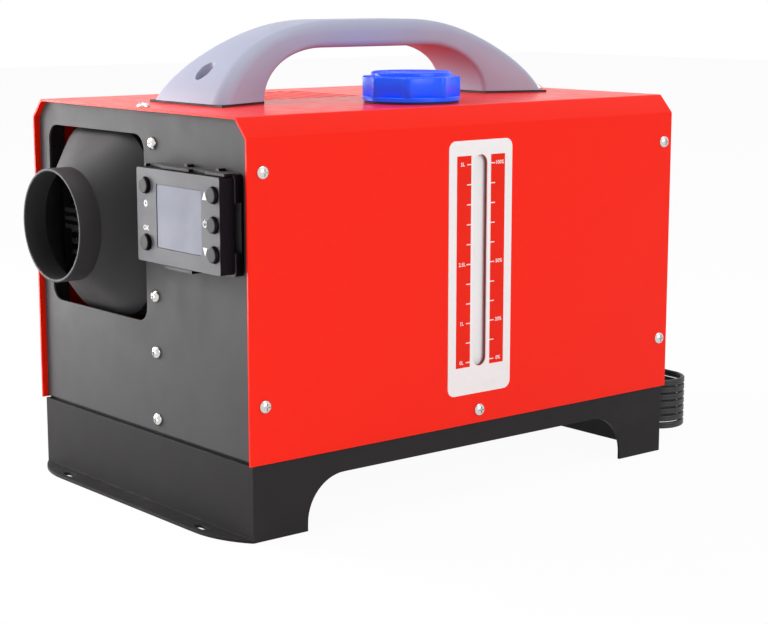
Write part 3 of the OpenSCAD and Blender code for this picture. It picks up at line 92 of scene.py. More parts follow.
class Nodes:
    """A material's node tree with a principled shader and the object's own coordinates."""

    def __init__(self, name):
        self.material = bpy.data.materials.new(name)
        self.material.use_nodes = True
        self.tree = self.material.node_tree
        self.shader = self.tree.nodes["Principled BSDF"]
        self.place = self.add("ShaderNodeTexCoord").outputs["Object"]

    def add(self, kind, **settings):
        node = self.tree.nodes.new(kind)
        for key, value in settings.items():
            setattr(node, key, value)
        return node

    def link(self, source, target):
        self.tree.links.new(source, target)

    def noise(self, scale, detail=2.0):
        """Noise value from 0 to 1 at a scale given in features per metre."""
        noise = self.add("ShaderNodeTexNoise")
        noise.inputs["Scale"].default_value = scale
        noise.inputs["Detail"].default_value = detail
        self.link(self.place, noise.inputs["Vector"])
        return noise.outputs["Fac"]

    def span(self, value, low, high, start=0.3, stop=0.7):
        """Value spread from low to high."""
        span = self.add("ShaderNodeMapRange")
        span.inputs["From Min"].default_value = start
        span.inputs["From Max"].default_value = stop
        span.inputs["To Min"].default_value = low
        span.inputs["To Max"].default_value = high
        self.link(value, span.inputs["Value"])
        return span.outputs["Result"]

    def maths(self, operation, a, b=None):
        node = self.add("ShaderNodeMath", operation=operation)
        node.use_clamp = operation == "MULTIPLY"
        for socket, value in zip(node.inputs, (a, b)):
            if isinstance(value, (int, float)):
                socket.default_value = value
            elif value is not None:
                self.link(value, socket)
        return node.outputs[0]

    def mix(self, factor, a, b):
        mix = self.add("ShaderNodeMix", data_type="RGBA")
        self.link(factor, mix.inputs["Factor"])
        for socket, value in ((mix.inputs[6], a), (mix.inputs[7], b)):
            if isinstance(value, bpy.types.NodeSocket):
                self.link(value, socket)
            else:
                socket.default_value = (*value, 1)
        return mix.outputs[2]

    def edges(self, radius):
        """1 along the edges of the piece and 0 on its faces."""
        bevel = self.add("ShaderNodeBevel", samples=4)
        bevel.inputs["Radius"].default_value = radius
        geometry = self.add("ShaderNodeNewGeometry")
        dot = self.add("ShaderNodeVectorMath", operation="DOT_PRODUCT")
        self.link(bevel.outputs["Normal"], dot.inputs[0])
        self.link(geometry.outputs["Normal"], dot.inputs[1])
        return self.span(dot.outputs["Value"], 1, 0, 0.85, 0.995)

    def bumps(self, layers):
        """Bump layers, each a height value and its depth in metres."""
        normal = None
        for height, depth in layers:
            bump = self.add("ShaderNodeBump")
            bump.inputs["Strength"].default_value = 1
            bump.inputs["Distance"].default_value = depth
            self.link(height, bump.inputs["Height"])
            if normal:
                self.link(normal, bump.inputs["Normal"])
            normal = bump.outputs["Normal"]
        self.link(normal, self.shader.inputs["Normal"])


def tinted(color, factor):
    """A colour made darker or lighter, still within 1."""
    return tuple(min(1.0, c * factor) for c in color)


def add_finish(name, color, rough, metallic=0.0, grain=(900, 0.00001), wave=(60, 0.00002),
               patch=0.05, spread=0.05, coat=0.0, wear=None, specular=0.5, glow=None):
    """A finish with cloudy colour, uneven roughness, fine grain, a slow wave and worn edges."""
    n = Nodes(name)
    n.shader.inputs["Metallic"].default_value = metallic
    n.shader.inputs["Coat Weight"].default_value = coat
    n.shader.inputs["Coat Roughness"].default_value = 0.12
    n.shader.inputs["Specular IOR Level"].default_value = specular
    # glow makes the surface give its own faint light: painted light, not a lamp.
    if glow:
        n.shader.inputs["Emission Color"].default_value = (*glow, 1)
        n.shader.inputs["Emission Strength"].default_value = 1
    cloud = n.noise(22, 4)
    base = n.mix(n.span(cloud, 0, 1), tinted(color, 1 - patch), tinted(color, 1 + patch))
    if wear:
        worn_color, amount = wear
        worn = n.maths("MULTIPLY", n.edges(0.0009), n.span(n.noise(240, 3), 0, amount, 0.35, 0.7))
        base = n.mix(worn, base, worn_color)
    n.link(base, n.shader.inputs["Base Color"])
    n.link(n.span(n.noise(70, 3), rough - spread, rough + spread), n.shader.inputs["Roughness"])
    layers = [(n.noise(wave[0], 2), wave[1]), (n.noise(grain[0], 2), grain[1])]
    n.bumps(layers)
    MATERIALS[name] = n.material


MATERIALS = {}
RED = (1.0, 0.0135, 0.001)
PALE_EDGE = (0.30, 0.29, 0.30)

add_finish("red_paint", RED, 0.36, grain=(1500, 0.000004), specular=0.07, coat=0.22,
           wave=(140, 0.000012), patch=0.0, wear=((0.80, 0.06, 0.03), 0.35))
add_finish("charcoal_paint", (0.021, 0.0192, 0.0205), 0.50, grain=(2200, 0.000012), patch=0.08,
           spread=0.07, specular=0.12, wear=(PALE_EDGE, 0.07))
add_finish("grey_paint", (0.064, 0.062, 0.065), 0.50, specular=0.15, grain=(2000, 0.00001),
           patch=0.05, wear=(PALE_EDGE, 0.10))
add_finish("zinc_sheet", (0.62, 0.63, 0.64), 0.38, 1.0, patch=0.14, spread=0.1)
add_finish("zinc_screw", (0.66, 0.65, 0.63), 0.24, 1.0, patch=0.06, grain=(1800, 0.000006))
add_finish("handle_plastic", (0.41, 0.425, 0.55), 0.46, specular=0.3, grain=(1700, 0.00001),
           patch=0.03, wave=(90, 0.00003))
add_finish("black_rubber", (0.016, 0.016, 0.017), 0.62, patch=0.15, grain=(1500, 0.00002))
add_finish("white_plate", (0.93, 0.90, 0.90), 0.28, specular=0.2, patch=0.015,
           grain=(1200, 0.000003))
add_finish("red_print", (0.90, 0.021, 0.008), 0.34, specular=0.1, patch=0.02,
           grain=(1200, 0.000003))
add_finish("tank_plastic", (0.93, 0.93, 0.94), 0.42, specular=0.3, patch=0.02, wave=(50, 0.0001))
add_finish("brass", (0.72, 0.55, 0.26), 0.30, 1.0, patch=0.12, spread=0.1)
add_finish("filter_plastic", (0.78, 0.80, 0.70), 0.20, patch=0.03)
add_finish("pump_steel", (0.50, 0.51, 0.53), 0.32, 1.0, patch=0.1)
add_finish("fuel_hose", (0.02, 0.12, 0.05), 0.38, patch=0.1)
add_finish("dark_plastic", (0.036, 0.034, 0.036), 0.50, specular=0.2, grain=(1600, 0.000012),
           patch=0.08, wear=(PALE_EDGE, 0.04))
add_finish("black_plastic", (0.006, 0.004, 0.006), 0.45, patch=0.1, specular=0.08,
           grain=(1600, 0.000012))
add_finish("cast_aluminium", (0.62, 0.63, 0.64), 0.48, 1.0, grain=(700, 0.00008), patch=0.15,
           spread=0.1)
add_finish("burner_steel", (0.36, 0.31, 0.26), 0.42, 1.0, patch=0.3, spread=0.12)
add_finish("ceramic", (0.80, 0.77, 0.65), 0.35, patch=0.05)
add_finish("motor_steel", (0.16, 0.17, 0.18), 0.40, patch=0.1)
add_finish("circuit_board", (0.03, 0.20, 0.09), 0.35, patch=0.2)
add_finish("gasket_fibre", (0.09, 0.11, 0.09), 0.75, patch=0.25, grain=(1200, 0.00005))
add_finish("cord_pvc", (0.026, 0.024, 0.027), 0.42, patch=0.12, specular=0.35,
           grain=(1400, 0.00001), wave=(120, 0.00004))
add_finish("face_plastic", (0.106, 0.103, 0.112), 0.42, specular=0.2, patch=0.02,
           grain=(2200, 0.000006))
add_finish("lcd_glass", (0.138, 0.146, 0.202), 0.40, patch=0.03, specular=0.3,
           grain=(800, 0.000001), wave=(40, 0.000004))
add_finish("button_rubber", (0.034, 0.032, 0.034), 0.48, patch=0.06, specular=0.2,
           grain=(1800, 0.000012))
# The cap glows a faint blue: painted light that makes it brighter than the lamps light it.
add_finish("cap_plastic", (0.004, 0.094, 1.0), 0.30, patch=0.0, specular=0.4,
           grain=(1500, 0.000006), wave=(110, 0.00003), glow=(0.0, 0.02, 0.22))
add_finish("white_ink", (0.88, 0.88, 0.88), 0.45, patch=0.01)
add_finish("red_cord", (0.55, 0.02, 0.015), 0.42, patch=0.1)
add_finish("dark_edge", (0.055, 0.055, 0.058), 0.6, patch=0.1)
# Dark metal for the screws' cross recesses: painted shade inside the recess.
add_finish("screw_recess_shade", (0.10, 0.095, 0.09), 0.5, 1.0, patch=0.2)
# A lighter grey for the controller's holder: painted highlight where light falls on its lip.
add_finish("tray_lit_grey", (0.060, 0.057, 0.060), 0.5, patch=0.06, specular=0.3)

for node_name, node_object in NODES.items():
    node_object.data.materials.clear()
    node_object.data.materials.append(MATERIALS[SLOT_OF[node_name]])


# Building pieces

def add_piece(name, mesh, body, slot, replaces=(), material=None):
    """A mesh as a piece that rides on a body, with its slot's material."""
    piece = bpy.data.objects.new(name, mesh)
    bpy.context.scene.collection.objects.link(piece)
    mesh.materials.clear()
    mesh.materials.append(MATERIALS[material or slot])
    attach(piece, body)
    if replaces:
        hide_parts(*replaces)
    return piece


def mesh_mm(name, points, faces):
    """Mesh from points in millimetres, with its faces turned outward."""
    mesh = bpy.data.meshes.new(name)
    mesh.from_pydata([Vector(p) * MM for p in points], [], faces)
    form = bmesh.new()
    form.from_mesh(mesh)
    bmesh.ops.recalc_face_normals(form, faces=form.faces[:])
    form.to_mesh(mesh)
    form.free()
    mesh.update()
    return mesh


def smooth(mesh, angle=32):
    """Smooth shading with the edges sharper than angle kept crisp."""
    mesh.shade_smooth()
    mesh.set_sharp_from_angle(angle=math.radians(angle))


def apply_modifiers(piece):
    """The piece's modifiers made part of its mesh."""
    graph = bpy.context.evaluated_depsgraph_get()
    shaped = bpy.data.meshes.new_from_object(piece.evaluated_get(graph), depsgraph=graph)
    piece.modifiers.clear()
    piece.data = shaped


def round_edges(piece, width, segments=3, angle=38):
    """Sharp edges rounded by width in millimetres."""
    bevel = piece.modifiers.new("edges", "BEVEL")
    bevel.width = width * MM
    bevel.segments = segments
    bevel.limit_method = "ANGLE"
    bevel.angle_limit = math.radians(angle)
    bevel.harden_normals = True
    bevel.use_clamp_overlap = True
    apply_modifiers(piece)


def cut(piece, cutters):
    """Cutters taken out of the piece."""
    for cutter in cutters:
        hole = piece.modifiers.new("cut", "BOOLEAN")
        hole.operation = "DIFFERENCE"
        hole.solver = "EXACT"
        hole.object = cutter
        apply_modifiers(piece)
        bpy.data.objects.remove(cutter)


def rod(center, axis, length, radius, sides=64):
    """Cutter rod about a point, in millimetres."""
    mesh = bpy.data.meshes.new("rod")
    form = bmesh.new()
    turn = Vector((0, 0, 1)).rotation_difference(Vector(axis)).to_matrix().to_4x4()
    bmesh.ops.create_cone(form, cap_ends=True, segments=sides, radius1=radius * MM,
                          radius2=radius * MM, depth=length * MM,
                          matrix=Matrix.Translation(Vector(center) * MM) @ turn)
    form.to_mesh(mesh)
    form.free()
    cutter = bpy.data.objects.new("rod", mesh)
    bpy.context.scene.collection.objects.link(cutter)
    return cutter


def arc(center, radius, start, stop, steps):
    """Points of an arc in a plane, angles in degrees."""
    angles = [math.radians(start + (stop - start) * i / steps) for i in range(steps + 1)]
    return [(center[0] + radius * math.cos(a), center[1] + radius * math.sin(a)) for a in angles]


def corner_arc(before, corner, after, radius, steps=6):
    """Points that round one corner of a flat line."""
    before, corner, after = Vector(before), Vector(corner), Vector(after)
    back, ahead = (before - corner).normalized(), (after - corner).normalized()
    half = back.angle(ahead) / 2
    middle = corner + (back + ahead).normalized() * (radius / math.sin(half))
    start = corner + back * (radius / math.tan(half)) - middle
    stop = corner + ahead * (radius / math.tan(half)) - middle
    turn = start.angle_signed(stop)
    return [tuple(middle + Matrix.Rotation(-turn * i / steps, 2) @ start)
            for i in range(steps + 1)]


def bent(points, radius):
    """An open line with its corners rounded to radius."""
    line = [points[0]]
    for before, corner, after in zip(points, points[1:], points[2:]):
        line += corner_arc(before, corner, after, radius)
    line.append(points[-1])
    return line


def ring_of(corners, radii):
    """A closed flat outline with each corner rounded by its own radius."""
    ring = []
    for i, radius in enumerate(radii):
        ring += corner_arc(corners[i - 1], corners[i], corners[(i + 1) % len(corners)], radius)
    return ring


def loft(rings, caps=True):
    """Faces between closed rings of equal length, numbered in order."""
    count = len(rings[0])
    points = [p for ring in rings for p in ring]
    faces = []
    for r in range(len(rings) - 1):
        for i in range(count):
            j = (i + 1) % count
            low, high = r * count, (r + 1) * count
            faces.append((low + i, low + j, high + j, high + i))
    if caps:
        faces.append(tuple(range(count)))
        faces.append(tuple(range(len(points) - count, len(points))))
    return points, faces


def extrusion(outline, place, start, stop):
    """Solid between two places of a flat outline; place turns a flat point and a depth into XYZ."""
    rings = [[place(p, start) for p in outline], [place(p, stop) for p in outline]]
    return loft(rings)


def turned(profile, sides=32):
    """Solid turned about Z from a profile of radius and height, closed at both ends."""
    rings = [[(r * math.cos(2 * math.pi * i / sides), r * math.sin(2 * math.pi * i / sides), z)
              for i in range(sides)] for r, z in profile]
    return loft(rings)


def rounded_copy(node, width, segments=3, material=None):
    """The node's own form with rounded edges, which stands for it."""
    mesh = NODES[node].data.copy()
    form = bmesh.new()
    form.from_mesh(mesh)
    bmesh.ops.remove_doubles(form, verts=form.verts[:], dist=0.002 * MM)
    bmesh.ops.dissolve_limit(form, angle_limit=math.radians(0.6), verts=form.verts[:],
                             edges=form.edges[:])
    form.to_mesh(mesh)
    form.free()
    smooth(mesh, 38)
    piece = add_piece(node + "_shape", mesh, BODY_OF[node], SLOT_OF[node], [node], material)
    round_edges(piece, width, segments)
    return piece


# Power cord: a flat twin lead, its hank behind the case, and the two cores that end it

CORD_WIDTH = 4.9
CORD_THICKNESS = 2.9
HANK_MIDDLE = (75.7, 229.6)
HANK_Z = 3.75
HANK_PITCH = 5.35
HANK_TURNS = 7
HANK_RUN = 92
HANK_RADIUS = 17.8
HANK_END = 6
CORE_RADIUS = 1.165
GLAND_TIP = (40, 198, 74)
LEAD_LEAVES = (0, 17, 0)
LEAD_ARRIVES = (26.3, 0, 0.6)
LEAD_STEPS = 54
RED_LEAVES = (-20, 0, 0)
BLACK_LEAVES = (-30, 0, -0.6)
CORE_ARRIVES = (30, 0, -0.4)
CORE_STEPS = 36
RED_TERMINAL = (-100, 207, 2)
BLACK_TERMINAL = (-100, 238, 2)


def hank_point(turn, along):
    """Point of the wound cord at a distance along one turn, which climbs at a steady rate."""
    end = math.pi * HANK_RADIUS
    turn_length = 2 * (HANK_RUN + end)
    if along < HANK_RUN:
        angle, slide = 0, along - HANK_RUN
    elif along < HANK_RUN + end:
        angle, slide = (along - HANK_RUN) / HANK_RADIUS, 0
    elif along < 2 * HANK_RUN + end:
        angle, slide = math.pi, HANK_RUN + end - along
    else:
        angle, slide = (along - 2 * HANK_RUN) / HANK_RADIUS, -HANK_RUN
    return (HANK_MIDDLE[0] + slide + HANK_RADIUS * math.sin(angle),
            HANK_MIDDLE[1] - HANK_RADIUS * math.cos(angle),
            HANK_Z + HANK_PITCH * (turn + along / turn_length))


def hank_points():
    """The wound cord from its lower end to its upper end."""
    end = math.pi * HANK_RADIUS
    bend_steps = 20
    run_steps = 6
    stops = [HANK_RUN * i / run_steps for i in range(run_steps)]
    stops += [HANK_RUN + end * i / bend_steps for i in range(bend_steps)]
    stops += [HANK_RUN + end + HANK_RUN * i / run_steps for i in range(run_steps)]
    stops += [2 * HANK_RUN + end + end * i / bend_steps for i in range(bend_steps)]
    points = [hank_point(turn, along) for turn in range(HANK_TURNS) for along in stops]
    points.append(hank_point(HANK_TURNS, 0))
    low, high = Vector(points[0]), Vector(points[-1])
    step = Vector((HANK_END, 0, 0))
    return [tuple(low - step)] + points + [tuple(high + step)]


def swept(path, section):
    """A section swept along a path, its second axis kept near upright."""
    path = [Vector(p) for p in path]
    rings = []
    for i, point in enumerate(path):
        ahead = (path[min(i + 1, len(path) - 1)] - path[max(i - 1, 0)]).normalized()
        side = ahead.cross(Vector((0, 0, 1))).normalized()
        rise = side.cross(ahead)
        rings.append([point + side * s[0] + rise * s[1] for s in section])
    return loft(rings)


def twin_section():
    """Two round cores side by side with a groove between them."""
    lobe = CORD_THICKNESS / 2
    offset = CORD_WIDTH / 2 - lobe
    upper = arc((0, offset), lobe, -36, 216, 9)
    lower = arc((0, -offset), lobe, 144, 396, 9)
    return upper + lower


def curved(start, out, back, finish, steps):
    """Smooth route between two ends that leaves and arrives by the given steps."""
    a, d = Vector(start), Vector(finish)
    b, c = a + Vector(out), d + Vector(back)
    line = []
    for i in range(steps + 1):
        t = i / steps
        s = 1 - t
        line.append(tuple(s ** 3 * a + 3 * s * s * t * b + 3 * s * t * t * c + t ** 3 * d))
    return line


def path_length(points):
    """Length along a line of points."""
    return sum((Vector(b) - Vector(a)).length for a, b in zip(points, points[1:]))


def make_cords():
    """The twin lead with its gland and ties, and the two cores with their terminals."""
    gland, ties, terminals = [rounded_copy(node, 0.25, 2)
                              for node in ("cord_gland", "cord_ties", "ring_terminals")]
    hank = list(reversed(hank_points()))
    lead = curved(GLAND_TIP, LEAD_LEAVES, LEAD_ARRIVES, hank[0], LEAD_STEPS)
    route = lead + hank[1:]
    mesh = mesh_mm("power_cord", *swept(route, twin_section()))
    smooth(mesh, 50)
    cord = add_piece("power_cord", mesh, CASE, "cord_pvc",
                     ["power_cord_lead", "power_cord_hank"])
    path_length(route) * MM
    [Vector(p) * MM for p in route]
    circle = arc((0, 0), CORE_RADIUS, 0, 337.5, 15)
    start = Vector(hank[-1])
    lift = Vector((0, 0, CORD_WIDTH / 4))
    red = curved(start + lift, RED_LEAVES, CORE_ARRIVES, RED_TERMINAL, CORE_STEPS)
    black = curved(start - lift, BLACK_LEAVES, CORE_ARRIVES, BLACK_TERMINAL, CORE_STEPS)
    for name, core_route, material in (("red_core", red, "red_cord"),
                                       ("black_core", black, "cord_pvc")):
        mesh = mesh_mm(name, *swept(core_route, circle))
        smooth(mesh, 50)
        core = add_piece(name, mesh, CASE, "cord_pvc", material=material)
        path_length(core_route) * MM
    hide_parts("cord_cores")


make_cords()


# Sheet-metal case

COVER_SHEET = 1.5
COVER_SLOPE = (11, 12)
BEND_RADIUS = 2.4
COVER_EDGE = 0.28


def make_cover():
    """The folded cover with its sloped upper edges, slots and holes."""
    low, high = box_mm("outer_cover")
    slope_w, slope_h = COVER_SLOPE
    outside = [(low.x, low.z), (low.x, high.z - slope_h), (low.x + slope_w, high.z),
               (high.x - slope_w, high.z), (high.x, high.z - slope_h), (high.x, low.z)]
    side = math.hypot(slope_w, slope_h)
    in_z = COVER_SHEET * (side - slope_h) / slope_w
    in_x = COVER_SHEET * (side - slope_w) / slope_h
    inside = [(low.x + COVER_SHEET, low.z), (low.x + COVER_SHEET, high.z - slope_h - in_z),
              (low.x + slope_w + in_x, high.z - COVER_SHEET),
              (high.x - slope_w - in_x, high.z - COVER_SHEET),
              (high.x - COVER_SHEET, high.z - slope_h - in_z), (high.x - COVER_SHEET, low.z)]
    outer = bent(outside, BEND_RADIUS)
    inner = bent(inside, BEND_RADIUS - COVER_SHEET)
    outline = outer + inner[::-1]
    ends = [(i, i + 1, len(outline) - 2 - i, len(outline) - 1 - i)
            for i in range(len(outer) - 1)]
    points, faces = loft([[(x, low.y, z) for x, z in outline],
                          [(x, high.y, z) for x, z in outline]], caps=False)
    count = len(outline)
    faces += ends + [tuple(i + count for i in face) for face in ends]
    mesh = mesh_mm("outer_cover_shape", points, faces)
    smooth(mesh)
    cover = add_piece("outer_cover_shape", mesh, CASE, "red_paint", ["outer_cover"])
    cut(cover, cover_cutters(high))
    # The walls of the level slot are painted dark grey.
    paint_faces(cover, "dark_edge", in_level_slot)
    round_edges(cover, COVER_EDGE, 2)


def slot_cutter(center, long_axis, deep_axis, length, width, depth):
    """Cutter for a slot with round ends, in millimetres."""
    half = (length - width) / 2
    outline = arc((half, 0), width / 2, -90, 90, 16) + arc((-half, 0), width / 2, 90, 270, 16)
    along, deep = Vector(long_axis), Vector(deep_axis)
    across = deep.cross(along)
    middle = Vector(center)

    def place(p, d):
        return middle + along * p[0] + across * p[1] + deep * d

    points, faces = extrusion(outline, place, -depth / 2, depth / 2)
    cutter = bpy.data.objects.new("slot", mesh_mm("slot", points, faces))
    bpy.context.scene.collection.objects.link(cutter)
    return cutter


GAUGE_Y = 1
GAUGE_Z = 154.3
SLOT_LENGTH = 136.7
SLOT_WIDTH = 10.3
CUT_DEPTH = 12
VENT_COUNT = 9
VENT_PITCH = 10.5
VENT_START = (-46, -78)
VENT_SIZE = (80, 5)
NECK_RADIUS = 23
HOLE_RADIUS = 2.2
HOLE_DEPTH = 20
HANDLE_SCREW_Y = 124.5
SCREW_SEAT_Z = 266.5
SCREW_LENGTHS = {"cover_screws": 5.6, "panel_screws": 8, "handle_screws": 20.5}
NUT_Z = 249.1
NUT_HALF = 4.6
NUT_HEIGHT = 3.2
NUT_BORE = 2.05
RECESS_WIDTH = 0.9
RECESS_SPAN = 4.6
RECESS_BOTTOM = 1.3


def screw_centers(node):
    """Middle of each separate screw of a node, in millimetres and in a steady order."""
    form = bmesh.new()
    form.from_mesh(NODES[node].data)
    bmesh.ops.remove_doubles(form, verts=form.verts[:], dist=0.002 * MM)
    left = set(form.verts)
    centers = []
    while left:
        heap = [left.pop()]
        group = []
        while heap:
            vert = heap.pop()
            group.append(vert.co.copy())
            for edge in vert.link_edges:
                other = edge.other_vert(vert)
                if other in left:
                    left.remove(other)
                    heap.append(other)
        low = Vector([min(p[i] for p in group) for i in range(3)])
        high = Vector([max(p[i] for p in group) for i in range(3)])
        centers.append((low + high) / 2 / MM)
    form.free()
    return sorted(centers, key=tuple)


def cover_cutters(high):
    """Cutters for the level slot, the louvre slots, the filler hole and the screw holes."""
    cutters = [slot_cutter((high.x, GAUGE_Y, GAUGE_Z), (0, 0, 1), (1, 0, 0), SLOT_LENGTH,
                           SLOT_WIDTH, CUT_DEPTH)]
    for i in range(VENT_COUNT):
        cutters.append(slot_cutter((VENT_START[0], VENT_START[1] + i * VENT_PITCH, high.z),
                                   (1, 0, 0), (0, 0, 1), *VENT_SIZE, CUT_DEPTH))
    neck_low, neck_high = box_mm("filler_gasket")
    neck = (neck_low + neck_high) / 2
    cutters.append(rod((neck.x, neck.y, high.z), (0, 0, 1), CUT_DEPTH, NECK_RADIUS, 96))
    for center in screw_centers("cover_screws"):
        axis = (0, 0, 1) if abs(center.x) < 1 else (1, 0, 0)
        cutters.append(rod(center, axis, HOLE_DEPTH, HOLE_RADIUS, 32))
    return cutters


def screw_mesh(length):
    """Pan-head screw with a cross recess, its seat at the origin and its head up."""
    dome = [(0.4, 2.6), (1.4, 2.54), (2.4, 2.32), (3.2, 1.9), (3.8, 1.3), (4.15, 0.6),
            (4.2, 0.25), (4.1, 0.05), (3.95, 0), (2.0, 0), (2.0, 0.3 - length), (1.7, -length)]
    piece = bpy.data.objects.new("screw", mesh_mm("screw", *turned(dome)))
    bpy.context.scene.collection.objects.link(piece)
    cutters = []
    for wide, deep in ((RECESS_SPAN, RECESS_WIDTH), (RECESS_WIDTH, RECESS_SPAN)):
        corners = [(-wide / 2, -deep / 2), (wide / 2, -deep / 2), (wide / 2, deep / 2),
                   (-wide / 2, deep / 2)]
        shape = mesh_mm("recess", *extrusion(corners, lambda p, d: (*p, d), RECESS_BOTTOM, 4))
        cutters.append(bpy.data.objects.new("recess", shape))
        bpy.context.scene.collection.objects.link(cutters[-1])
    cut(piece, cutters)
    smooth(piece.data, 30)
    mesh = piece.data
    # The recess's floor and walls get the second material, which is darker: painted shade in the
    # recess.
    for face in mesh.polygons:
        middle = face.center / MM
        reach = max(abs(middle.x), abs(middle.y))
        floor = abs(middle.z - RECESS_BOTTOM) < 0.05
        wall = middle.z > RECESS_BOTTOM and abs(face.normal.z) < 0.3
        face.material_index = int(reach < RECESS_SPAN / 2 + 0.05 and (floor or wall))
    bpy.data.objects.remove(piece)
    return mesh


def nut_mesh():
    """Hexagon nut with its bottom at the origin."""
    def radius(angle):
        return NUT_HALF * math.cos(math.pi / 6) / math.cos(
            (angle + math.pi / 6) % (math.pi / 3) - math.pi / 6)

    def bore(angle):
        return NUT_BORE

    angles = [math.pi * i / 24 for i in range(48)]
    rings = [[(r(a) * math.cos(a), r(a) * math.sin(a), z) for a in angles]
             for r, z in ((bore, 0), (radius, 0), (radius, NUT_HEIGHT), (bore, NUT_HEIGHT),
                          (bore, 0))]
    mesh = mesh_mm("nut", *loft(rings, caps=False))
    smooth(mesh, 30)
    return mesh


def joined(name, copies):
    """One mesh from several meshes, each with its own placing."""
    form = bmesh.new()
    for mesh, matrix in copies:
        part = bmesh.new()
        part.from_mesh(mesh)
        part.transform(matrix)
        whole = bpy.data.meshes.new("part")
        part.to_mesh(whole)
        part.free()
        form.from_mesh(whole)
        bpy.data.meshes.remove(whole)
    result = bpy.data.meshes.new(name)
    form.to_mesh(result)
    form.free()
    smooth(result, 30)
    return result


def placed(point, axis):
    """Placing that stands a screw at a point in millimetres with its head along the axis."""
    turn = Vector((0, 0, 1)).rotation_difference(Vector(axis)).to_matrix().to_4x4()
    return Matrix.Translation(Vector(point) * MM) @ turn


def make_screws():
    """The pan-head screws, which sit where the CAD screws are, and the handle's nuts."""
    high = box_mm("outer_cover")[1]
    panel = box_mm("front_panel")[0].y
    spots = {"cover_screws": [], "panel_screws": [], "handle_screws": []}
    for c in screw_centers("cover_screws"):
        if abs(c.x) < 1:
            spots["cover_screws"].append(((c.x, c.y, high.z), (0, 0, 1)))
        else:
            side = math.copysign(1, c.x)
            spots["cover_screws"].append(((side * high.x, c.y, c.z), (side, 0, 0)))
    for c in screw_centers("panel_screws"):
        side = math.copysign(1, c.y)
        spots["panel_screws"].append(((c.x, -side * panel, c.z), (0, side, 0)))
    for y in (-HANDLE_SCREW_Y, HANDLE_SCREW_Y):
        spots["handle_screws"].append(((0, y, SCREW_SEAT_Z), (0, 0, 1)))
    for node, length in SCREW_LENGTHS.items():
        screw = screw_mesh(length)
        copies = [(screw, placed(*spot)) for spot in spots[node]]
        if node == "handle_screws":
            copies += [(nut_mesh(), Matrix.Translation(Vector((0, y, NUT_Z)) * MM))
                       for y in (-HANDLE_SCREW_Y, HANDLE_SCREW_Y)]
        screws = add_piece(node + "_shape", joined(node + "_shape", copies), CASE, "zinc_screw",
                           [node])
        # Second material: the painted shade in the cross recesses.
        screws.data.materials.append(MATERIALS["screw_recess_shade"])


def paint_faces(piece, material, chosen):
    """A second material on the faces chosen by their middle, in millimetres, and normal."""
    piece.data.materials.append(MATERIALS[material])
    for face in piece.data.polygons:
        if chosen(face.center / MM, face.normal):
            face.material_index = 1


def in_level_slot(middle, normal):
    """Whether a face of the cover is a wall of the level slot, which is painted dark grey."""
    return (middle.x > 120 and abs(normal.x) < 0.3
            and abs(middle.y - GAUGE_Y) < SLOT_WIDTH / 2 + 0.1
            and abs(middle.z - GAUGE_Z) < SLOT_LENGTH / 2 + 0.1)


CONTROLLER_MIDDLE = sum(box_mm("controller_case"), Vector()) / 2


def in_tray_shade(middle, normal):
    """Whether a face of the controller's tray is in its hollow or on its right wall, the faces that
    are painted black as shade.
    """
    inward = CONTROLLER_MIDDLE - middle
    inside = normal.x * inward.x + normal.z * inward.z > 0
    return (inside and abs(normal.y) < 0.5) or normal.x > 0.5


def side_in_shade(middle, normal):
    """Whether a face of the controller looks aside, as the walls of its plate and buttons do; these
    faces are painted black as shade.
    """
    return normal.y > -0.8


make_cover()
for node in ("base_stand", "front_panel", "rear_panel"):
    rounded_copy(node, 0.45)
for node in ("floor_plate", "divider_panel", "rear_grille", "gauge_plate"):
    rounded_copy(node, 0.15, 2)
make_screws()
for node in ("outlet_grille", "handle_pads", "filler_gasket"):
    rounded_copy(node, 0.25, 2)
rounded_copy("controller_case", 0.25, 2, "black_plastic")
# The holder is lighter grey as painted light, with its hollow and right wall black as painted
# shade.
paint_faces(rounded_copy("controller_holder", 0.25, 2, "tray_lit_grey"), "black_plastic", in_tray_shade)
# The walls of the plate and of the buttons are painted black: painted shade round their edges.
paint_faces(rounded_copy("controller_bezel", 0.15, 2), "black_plastic", side_in_shade)
for node in ("menu_button", "ok_button", "up_button", "power_button", "down_button"):
    paint_faces(rounded_copy(node, 0.9, 4), "black_plastic", side_in_shade)
rounded_copy("lcd_lens", 0.12, 2)


# Handle, outlet and cap

def bezier(a, b, c, d, t):
    """Point at share t of the curve from a to d that b and c pull at."""
    s = 1 - t
    return tuple(s ** 3 * p + 3 * s * s * t * q + 3 * s * t * t * r + t ** 3 * u
                 for p, q, r, u in zip(a, b, c, d))


def evenly(line, count):
    """Points spaced evenly along a line, ends kept."""
    lengths = [0]
    for a, b in zip(line, line[1:]):
        lengths.append(lengths[-1] + math.dist(a, b))
    points = []
    for i in range(count):
        want = lengths[-1] * i / (count - 1)
        k = max(j for j in range(len(line) - 1) if lengths[j] <= want + 1e-9)
        share = (want - lengths[k]) / max(lengths[k + 1] - lengths[k], 1e-9)
        points.append(tuple(p + (q - p) * share for p, q in zip(line[k], line[k + 1])))
    return points


HANDLE_OUTER = ((141.5, 255.5), (127, 281.05), (86, 306.6), (31, 306.6))
HANDLE_PLAN = ((42, 141.5), (37, 127.5), (23, 107.5), (23, 75.5))
HANDLE_INNER_Y = 95
HANDLE_BOTTOM = 255.5
HANDLE_ARCH = (50, 33.1)
HANDLE_STATIONS = 26
HANDLE_RIM = (8.0, 4.5)
HANDLE_RECESS = 6.3
HANDLE_CUT = 60


def handle_half_width(y):
    """Half the handle's width at a distance from its middle."""
    plan = [bezier(*HANDLE_PLAN, k / 60) for k in range(61)]
    for (wide, far), (narrow, near) in zip(plan, plan[1:]):
        if near <= y <= far:
            return narrow + (wide - narrow) * (y - near) / (far - near)
    return plan[-1][0] if y < plan[-1][1] else plan[0][0]


